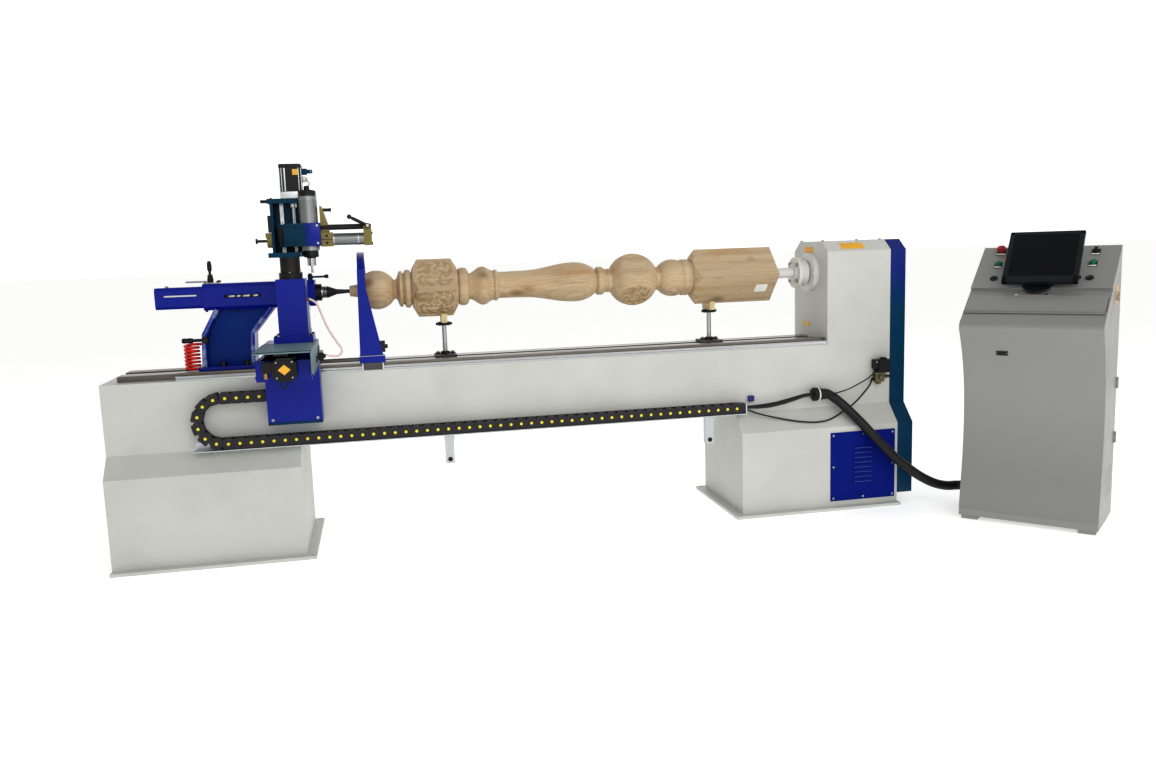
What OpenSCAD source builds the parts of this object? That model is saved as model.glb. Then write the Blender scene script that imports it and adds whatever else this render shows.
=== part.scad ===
// Wood turning lathe with a milling head, a follow steady and a separate control console.
// X runs along the bed towards the headstock, Y to the back, Z up. The origin is on the floor,
// under the middle of the bed and under the turning axis.

/* [Bed] */
// Length of the bed beam
bed_length = 3634; // [3500:1:3900]
// Width of the bed beam, front to back
bed_width = 380; // [370:1:420]
// Height of the bed top above the floor
bed_top = 800; // [760:1:840]
// Height of the bed beam
bed_height = 307; // [290:1:320]
// Thickness of the bed walls
bed_wall = 18; // [12:1:24]
// Width of the slot along the bed top
slot_width = 44; // [36:1:52]
// Height of the two flat ways above the bed top
way_height = 25; // [22:1:28]
// Distance from the turning axis to the outer edge of each way
way_outer = 120; // [112:1:128]
// Gap between the two ways
way_gap = 60; // [56:1:66]
// Width of the linear rail on the front edge
rail_width = 23; // [20:1:24]
// Height of the linear rail
rail_height = 20; // [16:1:20]
// Thickness of the gear rack bar
rack_width = 22; // [18:1:23]

/* [Pedestals] */
// Length of each pedestal
pedestal_length = 805; // [700:1:900]
// Width of each pedestal, front to back
pedestal_width = 550; // [500:1:600]
// Height of the sloping shoulder
shoulder_height = 87; // [60:1:120]
// Thickness of the pedestal plates
pedestal_wall = 10; // [6:1:14]
// How far the floor flange stands out
flange_out = 40; // [36:1:60]
// Thickness of the floor flange
flange_thick = 14; // [10:1:20]
// Diameter of the floor anchor holes
anchor_hole = 18; // [12:1:22]

/* [Headstock] */
// Height of the turning axis above the bed top
axis_height = 347; // [335:1:365]
// Length of the headstock cabinet
head_length = 331; // [300:1:360]
// Height of the headstock cabinet above the turning axis
head_rise = 150; // [140:1:170]
// Size of the headstock's top chamfer, across
head_chamfer = 65; // [40:1:80]
// Thickness of the headstock plates
head_wall = 16; // [12:1:20]
// Diameter of the main spindle
spindle_dia = 80; // [70:1:90]
// Outer diameter of the spindle bearings
bearing_dia = 140; // [130:1:150]
// Width of each spindle bearing
bearing_width = 30; // [24:1:40]
// Diameter of the bearing cover on the headstock's face
bearing_cover_dia = 190; // [170:1:210]
// Thickness of the bearing cover
bearing_cover_thick = 24; // [16:1:30]
// Thickness of the end belt cover, along the bed
end_cover_thick = 80; // [70:1:90]
// Diameter of the spindle's belt pulley
driven_pulley_dia = 200; // [170:1:220]
// Diameter of the motor's belt pulley
motor_pulley_dia = 100; // [80:1:120]
// Width of the belt
belt_width = 26; // [20:1:28]
// Thickness of the belt
belt_thick = 9; // [7:1:10]
// Height of the main motor's shaft above the floor
motor_height = 240; // [220:1:260]

/* [Workpiece] */
// Length of the turned post between the centres
work_length = 2032; // [1980:1:2060]
// Radius over the corners of the two square blocks
block_radius = 133; // [124:1:134]
// Distance from the headstock's face to the post's end
drive_reach = 220; // [200:1:240]

/* [Tailstock] */
// Outer size of the tailstock barrel
barrel_size = 116; // [108:1:124]
// Diameter of the quill
quill_dia = 56; // [50:1:60]
// Length of the wide part of the barrel
barrel_length = 478; // [460:1:500]
// Length of the narrow rear part of the barrel
rear_length = 200; // [170:1:220]
// Size of the narrow rear part of the barrel
rear_size = 94; // [86:1:100]
// How far the live centre stands out of the barrel
centre_reach = 150; // [140:1:170]

/* [Carriage] */
// Width of the saddle, along the bed
saddle_width = 208; // [200:1:220]
// How far the saddle reaches out in front of the turning axis
saddle_front = 670; // [640:1:690]
// Distance from the post's tail end back to the saddle's centre
saddle_back = 250; // [245:1:270]
// Height of the saddle's underside above the bed top
saddle_clear = 35; // [34:1:40]
// Height of the saddle's side walls
saddle_height = 80; // [76:1:90]
// Travel radius of the steady's opening
steady_bore = 141; // [140:1:146]
// Width of the steady's ring
steady_band = 33; // [28:1:40]
// Thickness of the steady's ring, along the bed
steady_thick = 32; // [28:1:40]
// Diameter of the drive pinion
pinion_dia = 76; // [70:1:80]
// Length of the apron plate down from the saddle
apron_drop = 235; // [180:1:240]

/* [Milling head] */
// Width of the column
column_width = 120; // [110:1:130]
// Depth of the column, front to back
column_depth = 110; // [90:1:120]
// Height of the column top above the turning axis
column_rise = 73; // [60:1:90]
// Distance from the turning axis to the column's back
column_gap = 240; // [236:1:250]
// Diameter of the milling spindle
mill_dia = 78; // [70:1:84]
// Length of the milling spindle's body
mill_length = 230; // [215:1:250]
// Height of the head frame
frame_height = 231; // [225:1:250]
// Diameter of the cutter
cutter_dia = 10; // [6:1:14]

/* [Work supports] */
// Diameter of each support post
post_dia = 22; // [18:1:26]
// Diameter of each support's collar
collar_dia = 52; // [44:1:60]
// Distance from the post's tail end to the first support
support_one = 418; // [380:1:440]
// Distance from the post's tail end to the second support
support_two = 1714; // [1690:1:1740]

/* [Energy chain] */
// Height of a chain link
link_height = 46; // [40:1:50]
// Width of the chain
chain_width = 56; // [44:1:60]
// Pitch of the chain links
link_pitch = 47; // [42:1:52]
// Radius of the chain's bend, to its middle line
bend_radius = 99; // [90:1:104]

/* [Console] */
// Width of the console
console_width = 580; // [540:1:620]
// Depth of the console at its base
console_depth = 363; // [345:1:400]
// Slope of the control panel in degrees
panel_angle = 36; // [30:1:40]
// Height of the rounded front edge
nose_height = 900; // [880:1:940]
// Turn of the console in degrees
console_turn = 47.5; // [40:0.5:55]
// Thickness of the console's sheet
console_wall = 3; // [2:0.5:4]
// Width of the screen
screen_width = 308; // [280:1:330]
// Height of the screen
screen_height = 275; // [240:1:280]

/* [Hidden] */

// Fits and clearances
run_fit = 0.05;
seat_gap = 0.3;
slide_gap = 1;
facets = 64;

// Main stations along the bed
half_bed = bed_length / 2;
half_width = bed_width / 2;
bed_bottom = bed_top - bed_height;
axis_z = bed_top + axis_height;
way_top = bed_top + way_height;
head_left = half_bed - head_length;
head_top = axis_z + head_rise;
work_right = head_left - drive_reach;
work_left = work_right - work_length;
saddle_mid = work_left - saddle_back;
barrel_front = work_left - centre_reach;

// Lays a flat outline of Y and Z out along X
module along_x(start, length) {
    translate([start, 0, 0]) rotate([90, 0, 90]) linear_extrude(length) children();
}
// Lays a flat outline of X and Z out along Y
module along_y(start, length) {
    translate([0, start + length, 0]) rotate([90, 0, 0]) linear_extrude(length) children();
}
module rod_x(start, length, radius, y = 0, z = 0) {
    translate([start, y, z]) rotate([0, 90, 0]) cylinder(h = length, r = radius, $fn = facets);
}
module rod_y(start, length, radius, x = 0, z = 0) {
    translate([x, start, z]) rotate([-90, 0, 0]) cylinder(h = length, r = radius, $fn = facets);
}
module rod_z(start, length, radius, x = 0, y = 0) {
    translate([x, y, start]) cylinder(h = length, r = radius, $fn = facets);
}
// A box from its lowest corner to its highest corner
module box(low, high) { translate(low) cube(high - low); }
// A square outline with its corners cut off
module cut_square(size, cut) {
    h = size / 2;
    k = h - cut;
    polygon([[-k, -h], [k, -h], [h, -k], [h, k], [k, h], [-k, h], [-h, k], [-h, -k]]);
}

// Bed
rib_pitch = 400;
rib_thick = 14;
rib_drop = 90;
slot_start = -half_bed + 80;
way_start = -half_bed + 57;
rail_start = -half_bed + 307;
rail_inset = 2;
rail_mid = -half_width + rail_inset + rail_width / 2;
rack_front = rail_mid + rail_width / 2 + 5;
rack_top = bed_top + saddle_clear - 3;

module bed_beam() color("gainsboro") {
    inner_top = bed_top - bed_wall;
    inner_half = half_width - bed_wall;
    difference() {
        box([-half_bed, -half_width, bed_bottom], [half_bed, half_width, bed_top]);
        box([-half_bed + bed_wall, -inner_half, bed_bottom - 1],
            [half_bed - bed_wall, inner_half, inner_top]);
        box([slot_start, -slot_width / 2, inner_top - 1], [head_left, slot_width / 2, bed_top + 1]);
    }
    for (x = [-half_bed + rib_pitch : rib_pitch : half_bed - rib_pitch / 2])
        box([x, -inner_half, bed_bottom], [x + rib_thick, inner_half, inner_top - rib_drop]);
}

// Two flat ways, the linear rail and the rack bar, all bolted to the bed top
module bed_rails() color("dimgray") {
    for (side = [-1, 1]) {
        low = side < 0 ? -way_outer : way_gap / 2;
        high = side < 0 ? -way_gap / 2 : way_outer;
        box([way_start, low, bed_top], [head_left, high, way_top]);
    }
    along_x(rail_start, head_left - rail_start) translate([rail_mid, bed_top]) polygon([
        [-rail_width / 2, 0], [rail_width / 2, 0], [rail_width / 2, rail_height * 0.35],
        [rail_width * 0.38, rail_height * 0.6], [rail_width / 2, rail_height],
        [-rail_width / 2, rail_height], [-rail_width * 0.38, rail_height * 0.6],
        [-rail_width / 2, rail_height * 0.35]]);
    box([rail_start, rack_front, bed_top], [head_left, rack_front + rack_width, rack_top]);
}

// Pedestals
pedestal_half = pedestal_width / 2;
anchor_inset = 22;
flange_half_y = pedestal_half + flange_out;
anchor_y = flange_half_y - anchor_inset;
anchor_x = half_bed - anchor_inset;
anchor_inner_x = half_bed - pedestal_length - flange_out + anchor_inset;

// The pedestal's section, drawn in by a wall's thickness
function pedestal_outline(wall, floor_z, top_z) = [
    [-pedestal_half + wall, floor_z], [pedestal_half - wall, floor_z],
    [pedestal_half - wall, bed_bottom - shoulder_height],
    [half_width - wall, bed_bottom - wall / 2], [half_width - wall, top_z],
    [-half_width + wall, top_z], [-half_width + wall, bed_bottom - wall / 2],
    [-pedestal_half + wall, bed_bottom - shoulder_height]];

module pedestal(start) {
    difference() {
        along_x(start, pedestal_length) polygon(pedestal_outline(0, 0, bed_bottom));
        along_x(start + pedestal_wall, pedestal_length - 2 * pedestal_wall)
            polygon(pedestal_outline(pedestal_wall, flange_thick, bed_bottom - pedestal_wall));
    }
}
// The floor flange stands out at the front, at the back and on the inner side
module floor_flange(low_x, high_x, hole_xs) {
    difference() {
        box([low_x, -flange_half_y, 0], [high_x, flange_half_y, flange_thick]);
        for (x = hole_xs, y = [-anchor_y, anchor_y])
            rod_z(-1, flange_thick + 2, anchor_hole / 2, x, y);
    }
}
module left_pedestal() color("gainsboro") {
    pedestal(-half_bed);
    floor_flange(-half_bed, -half_bed + pedestal_length + flange_out, [-anchor_x, -anchor_inner_x]);
}

// Louvred panel on the right pedestal's front
panel_right = half_bed - 15;
panel_left = panel_right - 339;
panel_low = 38;
panel_high = 378;
panel_thick = 3;
panel_lap = 30;
panel_screw = 5;
louvre_count = 8;
louvre_pitch = 24;
louvre_left = panel_left + 123;
louvre_length = 87;
louvre_gap = 6;

module right_pedestal() color("gainsboro") {
    difference() {
        pedestal(half_bed - pedestal_length);
        box([panel_left + panel_lap, -pedestal_half - 1, panel_low + panel_lap],
            [panel_right - panel_lap, -pedestal_half + pedestal_wall + 1, panel_high - panel_lap]);
        rod_x(half_bed - pedestal_wall - 1, pedestal_wall + 2, motor_shaft_dia / 2 + 6, 0, motor_height);
    }
    floor_flange(half_bed - pedestal_length - flange_out, half_bed, [anchor_inner_x, anchor_x]);
}
module louvre_panel() color("mediumblue") {
    plate_back = -pedestal_half;
    plate_front = -pedestal_half - panel_thick;
    screw_out = 3;
    screw_inset = 14;
    first_louvre = panel_low + 86;
    difference() {
        box([panel_left, plate_front, panel_low], [panel_right, plate_back, panel_high]);
        for (i = [0 : louvre_count - 1])
            box([louvre_left, plate_front - 1, first_louvre + i * louvre_pitch],
                [louvre_left + louvre_length, plate_back + 1, first_louvre + i * louvre_pitch + louvre_gap]);
    }
    for (u = [0, 0.5, 1], v = [0, 0.5, 1]) if (u != 0.5 || v != 0.5)
        rod_y(plate_front - screw_out, screw_out - 0.05, panel_screw,
            panel_left + screw_inset + u * (panel_right - panel_left - 2 * screw_inset),
            panel_low + screw_inset + v * (panel_high - panel_low - 2 * screw_inset));
}

// Headstock
head_outline_drop = 49;
function head_outline(wall, low_z) = [
    [-half_width + wall, low_z], [half_width - wall, low_z],
    [half_width - wall, head_top - head_outline_drop - wall / 2],
    [half_width - head_chamfer - wall / 3, head_top - wall],
    [-half_width + head_chamfer + wall / 3, head_top - wall],
    [-half_width + wall, head_top - head_outline_drop - wall / 2]];
boss_wall = 16;
bearing_lip = 4;
front_bearing_x = head_left + bearing_lip;
rear_bearing_x = half_bed - bearing_lip - bearing_width;

module headstock_cabinet() color("gainsboro") {
    boss_length = bearing_width + bearing_lip;
    difference() {
        union() {
            difference() {
                along_x(head_left, head_length) polygon(head_outline(0, bed_top));
                along_x(head_left + head_wall, head_length - 2 * head_wall)
                    polygon(head_outline(head_wall, bed_top + head_wall));
            }
            rod_x(head_left, boss_length, bearing_dia / 2 + boss_wall, 0, axis_z);
            rod_x(half_bed - boss_length, boss_length, bearing_dia / 2 + boss_wall, 0, axis_z);
        }
        rod_x(front_bearing_x, bearing_width + 1, bearing_dia / 2 + run_fit, 0, axis_z);
        rod_x(rear_bearing_x - 1, bearing_width + 1, bearing_dia / 2 + run_fit, 0, axis_z);
        rod_x(head_left - 1, head_length + 2, spindle_dia / 2 + 8, 0, axis_z);
    }
}
module spindle_bearings() color("silver") {
    for (x = [front_bearing_x, rear_bearing_x]) difference() {
        rod_x(x, bearing_width, bearing_dia / 2, 0, axis_z);
        rod_x(x - 1, bearing_width + 2, spindle_dia / 2 + run_fit, 0, axis_z);
    }
}
cover_start = head_left - bearing_cover_thick;
module bearing_cover() color("white") {
    difference() {
        rod_x(cover_start, bearing_cover_thick, bearing_cover_dia / 2, 0, axis_z);
        rod_x(cover_start - 1, bearing_cover_thick + 2, spindle_dia / 2 + slide_gap, 0, axis_z);
    }
    for (a = [0 : 60 : 300])
        rod_x(cover_start - 5, 4.95, 7, (bearing_cover_dia / 2 - 15) * cos(a),
            axis_z + (bearing_cover_dia / 2 - 15) * sin(a));
}

// Belt drive inside the end cover
motor_shaft_dia = 38;
pulley_start = half_bed + 14;
pulley_width = belt_width + 8;
cover_low = 54;
cover_sheet = 4;
function cover_outline(wall) = [
    [-pedestal_half + wall, cover_low + wall], [pedestal_half - wall, cover_low + wall],
    [pedestal_half - wall, bed_bottom - shoulder_height], [half_width - wall, bed_bottom],
    [half_width - wall, head_top - head_outline_drop - wall / 2],
    [half_width - head_chamfer - wall / 3, head_top - wall],
    [-half_width + head_chamfer + wall / 3, head_top - wall],
    [-half_width + wall, head_top - head_outline_drop - wall / 2], [-half_width + wall, bed_bottom],
    [-pedestal_half + wall, bed_bottom - shoulder_height]];
module end_belt_cover() color("midnightblue") {
    difference() {
        along_x(half_bed, end_cover_thick) polygon(cover_outline(0));
        along_x(half_bed - 1, end_cover_thick - cover_sheet + 1) polygon(cover_outline(cover_sheet));
    }
}
module pulley(dia, bore, z) {
    difference() {
        union() {
            rod_x(pulley_start, pulley_width, dia / 2 - belt_thick, 0, z);
            for (x = [pulley_start, pulley_start + pulley_width - 3]) rod_x(x, 3, dia / 2, 0, z);
        }
        rod_x(pulley_start - 1, pulley_width + 2, bore / 2 + run_fit, 0, z);
    }
}
module drive_belt() color("black") {
    inner_top = driven_pulley_dia / 2 - belt_thick + seat_gap;
    inner_low = motor_pulley_dia / 2 - belt_thick + seat_gap;
    along_x(pulley_start + 4, belt_width) difference() {
        hull() {
            translate([0, axis_z]) circle(inner_top + belt_thick, $fn = 48);
            translate([0, motor_height]) circle(inner_low + belt_thick, $fn = 48);
        }
        hull() {
            translate([0, axis_z]) circle(inner_top, $fn = 48);
            translate([0, motor_height]) circle(inner_low, $fn = 48);
        }
    }
}
motor_length = 290;
motor_start = half_bed - pedestal_wall - 20 - motor_length;
motor_radius = 105;
module main_motor() color("dimgray") {
    difference() {
        union() {
            rod_x(motor_start, motor_length, motor_radius, 0, motor_height);
            for (side = [-1, 1])
                box([motor_start + 40, side * 80 - 30, flange_thick], [motor_start + 250, side * 80 + 30,
                    motor_height - 60]);
            box([motor_start + 90, -50, motor_height + 90], [motor_start + 200, 50, motor_height + 150]);
        }
        rod_x(motor_start + 20, motor_length, motor_shaft_dia / 2 + run_fit, 0, motor_height);
    }
}
module motor_pulley() color("gray") {
    rod_x(motor_start + 22, pulley_start + pulley_width - motor_start - 22, motor_shaft_dia / 2, 0,
        motor_height);
    pulley(motor_pulley_dia, motor_shaft_dia, motor_height);
}

// Spindle with its faceplate, and the pulley as a second solid
plate_dia = 150;
plate_thick = 18;
plate_start = head_left - 90;
module main_spindle() color("lightgray") {
    rod_x(plate_start, plate_thick, plate_dia / 2, 0, axis_z);
    rod_x(plate_start + plate_thick, head_left - plate_start - plate_thick - bearing_cover_thick - 8,
        58, 0, axis_z);
    rod_x(plate_start, pulley_start + pulley_width - plate_start + 6, spindle_dia / 2, 0, axis_z);
    pulley(driven_pulley_dia, spindle_dia, axis_z);
}
prong_length = 14;
centre_point = 9;
module drive_center() color("whitesmoke") {
    reach = plate_start - work_right;
    translate([work_right, 0, axis_z]) rotate([0, 90, 0]) rotate_extrude($fn = facets) polygon([
        [0, -centre_point + 1], [centre_point - 1, 0], [14, 0], [14, prong_length], [25, prong_length + 22],
        [25, reach - 10], [44, reach - 10], [44, reach], [0, reach]]);
    for (a = [0 : 90 : 270]) translate([work_right, 0, axis_z]) rotate([a, 0, 0])
        box([0, -3, 8], [prong_length + 10, 3, 22]);
}

// Turned post, a profile of radius and distance from the tail end
block_side = block_radius * sqrt(2);
block_one = [281, 488];
block_two_start = 1616;
// A round bead or ball between two stations
function bead(u0, u1, r0, r1, n = 10) = [for (i = [0 : n]) let (t = i / n)
    [r0 + (r1 - r0) * sqrt(max(0, 1 - pow(2 * t - 1, 2))), u0 + (u1 - u0) * t]];
// Part of a ball, with its widest station, half length and radius
function egg(u0, u1, widest, reach, radius, n = 10) = [for (i = [0 : n]) let (u = u0 + (u1 - u0) * i / n)
    [radius * sqrt(max(0, 1 - pow((u - widest) / reach, 2))), u]];
// A soft S curve from one radius to another
function sweep(u0, u1, r0, r1, n = 8) = [for (i = [0 : n]) let (t = i / n)
    [r0 + (r1 - r0) * (1 - cos(180 * t)) / 2, u0 + (u1 - u0) * t]];
post_profile = concat(
    [[0, centre_point + 2], [centre_point + 1, 0], [24, 0]], egg(37, 197, 121, 89, 89, 14),
    [[44, 199], [44, 206]], sweep(208, 226, 46, 82, 4), [[83, 235], [70, 240]], bead(245, 277, 74, 88, 8),
    [[74, 280], [74, 487]], bead(488, 540, 70, 88, 8), sweep(543, 603, 60, 89, 8),
    sweep(609, 652, 89, 70, 6), bead(655, 676, 66, 73, 4), [[62, 680]],
    sweep(700, 779, 61, 62.5, 2), sweep(800, 1040, 63, 93, 10), egg(1044, 1146, 1044, 124, 93, 8),
    [[64, 1152], [67, 1156], [67, 1176], [64, 1180]], sweep(1184, 1198, 60, 53, 3), [[56, 1201], [56, 1217]],
    egg(1220, 1440, 1330, 124, 124, 18), [[55, 1444], [55, 1456]], egg(1460, 1563, 1526, 89, 89, 10),
    [[84, 1568], [87, 1572], [87, 1598], [80, 1602]],
    [[80, work_length], [centre_point + 1, work_length], [0, work_length - centre_point - 2]]);
ball_flat = 100;
// A square block whose corners are turned to a cone at one or both ends
module post_block(u0, u1, left_cone, right_cone) {
    turned = block_radius - 0.8;
    shoulder = block_radius * 0.66;
    intersection() {
        rotate([0, 0, 45]) translate([-block_side / 2, -block_side / 2, u0])
            cube([block_side, block_side, u1 - u0]);
        rotate_extrude($fn = facets) polygon([[0, u0], [shoulder, u0], [turned, u0 + left_cone],
            [turned, u1 - right_cone], [right_cone > 0 ? shoulder : turned, u1], [0, u1]]);
    }
}
module workpiece() color("burlywood") {
    translate([work_left, 0, axis_z]) rotate([0, 90, 0]) difference() {
        union() {
            intersection() {
                rotate_extrude($fn = facets) polygon(post_profile);
                rotate([0, 0, 45]) translate([-ball_flat, -ball_flat, 0])
                    cube([2 * ball_flat, 2 * ball_flat, work_length]);
            }
            post_block(block_one[0], block_one[1], 25, 25);
            post_block(block_two_start, work_length, 27, 0);
        }
        translate([0, 0, -1]) cylinder(h = centre_point + 3, r1 = centre_point + 3, r2 = 0, $fn = facets);
        translate([0, 0, work_length - centre_point - 2])
            cylinder(h = centre_point + 3, r1 = 0, r2 = centre_point + 3, $fn = facets);
    }
}

// Tailstock
barrel_start = barrel_front - barrel_length;
rear_start = barrel_start - rear_length;
base_left = barrel_front - 509;
base_right = barrel_front - 273;
base_thick = 20;
web_half = 14;
rib_half = 58;
collar_length = 26;
collar_radius = 38;
quill_out = 32;
quill_length = 330;
quill_stroke = 100;
live_bore = 12;
live_seat = 42;
stud_radius = 9;
clamp_plate_half = 55;
clamp_plate_thick = 20;
barrel_half = barrel_size / 2;
barrel_top = axis_z + barrel_half;
handle_mid_x = barrel_front - 480;
handle_z = axis_z - 185;

// One cast rib that follows the web's bent end
module tail_rib(points, thick) {
    along_y(-rib_half, 2 * rib_half) polygon(concat(points,
        [for (i = [len(points) - 1 : -1 : 0]) [points[i][0] + thick, points[i][1]]]));
}
module tailstock_body() color("navy") {
    low = way_top + base_thick - 1;
    bend_z = axis_z - 164;
    left_line = [[base_left + 6, low], [base_left + 14, bend_z], [base_left + 76, axis_z - barrel_half + 4]];
    right_line = [[base_right - 24, low], [base_right - 18, bend_z],
        [base_right + 72, axis_z - barrel_half + 4]];
    difference() {
        union() {
            box([base_left, -way_outer, way_top], [base_right, way_outer, way_top + base_thick]);
            tail_rib(left_line, 20);
            tail_rib(right_line, 20);
            along_y(-web_half, 2 * web_half) polygon([left_line[0], left_line[1], left_line[2],
                right_line[2], right_line[1], right_line[0]]);
            along_x(barrel_start, barrel_length) translate([0, axis_z]) cut_square(barrel_size, 16);
            along_x(rear_start, rear_length) translate([0, axis_z]) cut_square(rear_size, 12);
            rod_x(barrel_front, collar_length, collar_radius, 0, axis_z);
        }
        rod_x(barrel_front - quill_length - quill_stroke, quill_length + quill_stroke + collar_length + 1,
            quill_dia / 2 + run_fit, 0, axis_z);
        box([barrel_front - 388, -barrel_half - 1, axis_z - 6], [barrel_front - 230, -quill_dia / 2 + 4,
            axis_z + 8]);
        box([rear_start + 36, -rear_size / 2 - 1, axis_z + 6], [rear_start + 175, -rear_size / 2 + 5,
            axis_z + 14]);
        for (x = [base_left + 100, base_right - 36], y = [-rib_half - 22, rib_half + 22])
            rod_z(way_top - 1, base_thick + 2, 9, x, y);
    }
    for (x = [base_left + 100, base_right - 36], y = [-rib_half - 22, rib_half + 22])
        rod_z(way_top + base_thick, 12, 15, x, y);
    // Clamp stud and plate that grip the bed through its slot
    clamp_x = (base_left + base_right) / 2;
    clamp_top = bed_top - bed_wall - slide_gap;
    rod_z(clamp_top - clamp_plate_thick, way_top - clamp_top + clamp_plate_thick, stud_radius, clamp_x, 0);
    box([clamp_x - 45, -clamp_plate_half, clamp_top - clamp_plate_thick],
        [clamp_x + 45, clamp_plate_half, clamp_top]);
}
module quill() color("silver") {
    front = barrel_front + quill_out;
    difference() {
        rod_x(front - quill_length, quill_length, quill_dia / 2, 0, axis_z);
        rod_x(front - live_seat - 4, live_seat + 5, live_bore + run_fit, 0, axis_z);
    }
}
module live_center() color("dimgray") {
    front = barrel_front + quill_out;
    nose = work_left - front;
    translate([front, 0, axis_z]) rotate([0, 90, 0]) rotate_extrude($fn = facets) polygon([
        [0, -live_seat], [live_bore, -live_seat], [live_bore, seat_gap], [quill_dia / 2 - 2, seat_gap],
        [quill_dia / 2 - 2, 22], [12, 60], [9, nose - 20], [centre_point - 0.5, nose - seat_gap],
        [0, nose + centre_point - 1]]);
}
lock_pivot_x = barrel_front - 20;
module quill_lock_lever() color("teal") {
    arm_z = barrel_top + 8;
    rod_z(barrel_top + seat_gap, 22 - seat_gap, 11, lock_pivot_x, 0);
    box([lock_pivot_x, -9, arm_z], [lock_pivot_x + 66, 9, arm_z + 9]);
    rod_x(lock_pivot_x + 60, 20, 6, 0, arm_z + 5);
}
barrel_lever_x = barrel_front - 448;
module barrel_lever() color("black") {
    rod_z(barrel_top + seat_gap, 26, 13, barrel_lever_x, 0);
    rod_z(barrel_top + 10, 90, 6, barrel_lever_x, 0);
    rod_x(barrel_lever_x - 105, 105, 4, 0, barrel_top + 10);
}
handle_hub = 24;
module clamp_handle() color("black") {
    hub_y = -rib_half - seat_gap - handle_hub;
    rod_y(hub_y, handle_hub, 15, handle_mid_x, handle_z);
    rod_x(handle_mid_x - 84, 84, 7, hub_y + 11, handle_z);
    rod_x(handle_mid_x - 96, 34, 10, hub_y + 11, handle_z);
}

// Work supports
pad_gap = 1;
pad_width = 26;
pad_half = 58;
pad_low = axis_z - block_radius - 28;
collar_thick = 14;
foot_half_x = 50;
foot_thick = 12;
foot_boss = 24;
post_tail = 36;
post_drop = 60;
module support_foot(x) {
    difference() {
        union() {
            box([x - foot_half_x, -way_gap / 2 - 30, way_top], [x + foot_half_x, way_gap / 2 + 30,
                way_top + foot_thick]);
            rod_z(way_top, foot_boss, post_dia / 2 + 10, x, 0);
        }
        rod_z(way_top - 1, foot_boss + 2, post_dia / 2 + run_fit, x, 0);
    }
    for (side = [-1, 1]) rod_z(way_top + foot_thick, 9, 11, x + side * 34, 0);
}
module support_feet() color("dimgray") {
    support_foot(work_left + support_one);
    support_foot(work_left + support_two);
}
module support_post(x) {
    rod_z(way_top - post_tail, pad_low - way_top + post_tail, post_dia / 2, x, 0);
    rod_z(pad_low - collar_thick, collar_thick, collar_dia / 2, x, 0);
    difference() {
        box([x - pad_width / 2, -pad_half, pad_low], [x + pad_width / 2, pad_half,
            axis_z - sqrt(pow(block_radius, 2) - pow(pad_half, 2)) + 8]);
        rod_x(x - pad_width, 2 * pad_width, block_radius + pad_gap, 0, axis_z);
    }
}
module support_post_left() color("silver") support_post(work_left + support_one);
module support_post_right() color("silver") support_post(work_left + support_two);

// Carriage
saddle_low = bed_top + saddle_clear;
saddle_top = saddle_low + saddle_height;
saddle_left = saddle_mid - saddle_width / 2;
saddle_right = saddle_mid + saddle_width / 2;
saddle_wall = 16;
saddle_end = 75;
floor_plate = 6;
screw_x = saddle_mid + 8;
screw_z = saddle_top - 31;
screw_radius = 8;
screw_back = 30;
pinion_x = saddle_mid - 48;
pinion_z = rack_top + pinion_dia / 2 + seat_gap;
feed_motor_size = 56;
block_length = 60;
block_half = 16;
rail_play = 0.3;
steady_mid = work_left + 57;

// A guide block that runs on the linear rail
module guide_block(x, length) {
    difference() {
        box([x, rail_mid - block_half, bed_top + 3], [x + length, rail_mid + block_half, saddle_low]);
        box([x - 1, rail_mid - rail_width / 2 - rail_play, bed_top],
            [x + length + 1, rail_mid + rail_width / 2 + rail_play, bed_top + rail_height + rail_play]);
    }
}
module saddle() color("navy") {
    inner_left = saddle_left + saddle_wall;
    inner_right = saddle_right - saddle_wall;
    for (x = [saddle_left, inner_right])
        box([x, -saddle_front, saddle_low], [x + saddle_wall, -saddle_end, saddle_top]);
    for (x = [saddle_left, inner_right - 20])
        box([x, -way_outer + 3, way_top + seat_gap],
            [x + saddle_wall + 20, -way_gap / 2 - 45, saddle_low + 6]);
    box([saddle_left, -saddle_front, saddle_low], [saddle_right, rail_mid - 18, saddle_low + floor_plate]);
    // Front plate that carries the cross motor
    difference() {
        box([saddle_left, -saddle_front, saddle_low], [saddle_right, -saddle_front + 14, saddle_top]);
        rod_y(-saddle_front - 1, 20, screw_radius + 4, screw_x, screw_z);
    }
    // Web that carries the feed motor's pinion shaft
    difference() {
        box([inner_left, rail_mid - 30, saddle_low], [pinion_x + 36, rail_mid - 18, saddle_top - 6]);
        rod_y(rail_mid - 31, 14, 7 + 1, pinion_x, pinion_z);
    }
    // Rear plate that carries the cross screw's far end
    difference() {
        box([saddle_left, -saddle_end - screw_back - 15, saddle_low + 6], [saddle_right,
            -saddle_end - screw_back, saddle_top - 6]);
        rod_y(-saddle_end - screw_back - 16, 17, screw_radius + run_fit, screw_x, screw_z);
    }
    // Cross rails on the outer faces of the walls
    for (x = [saddle_left - 6, saddle_right])
        box([x, -saddle_front + 20, saddle_low + 8], [x + 6, rail_mid - 30, saddle_low + 20]);
    for (x = [saddle_left, saddle_right - block_length]) guide_block(x, block_length);
}

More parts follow.
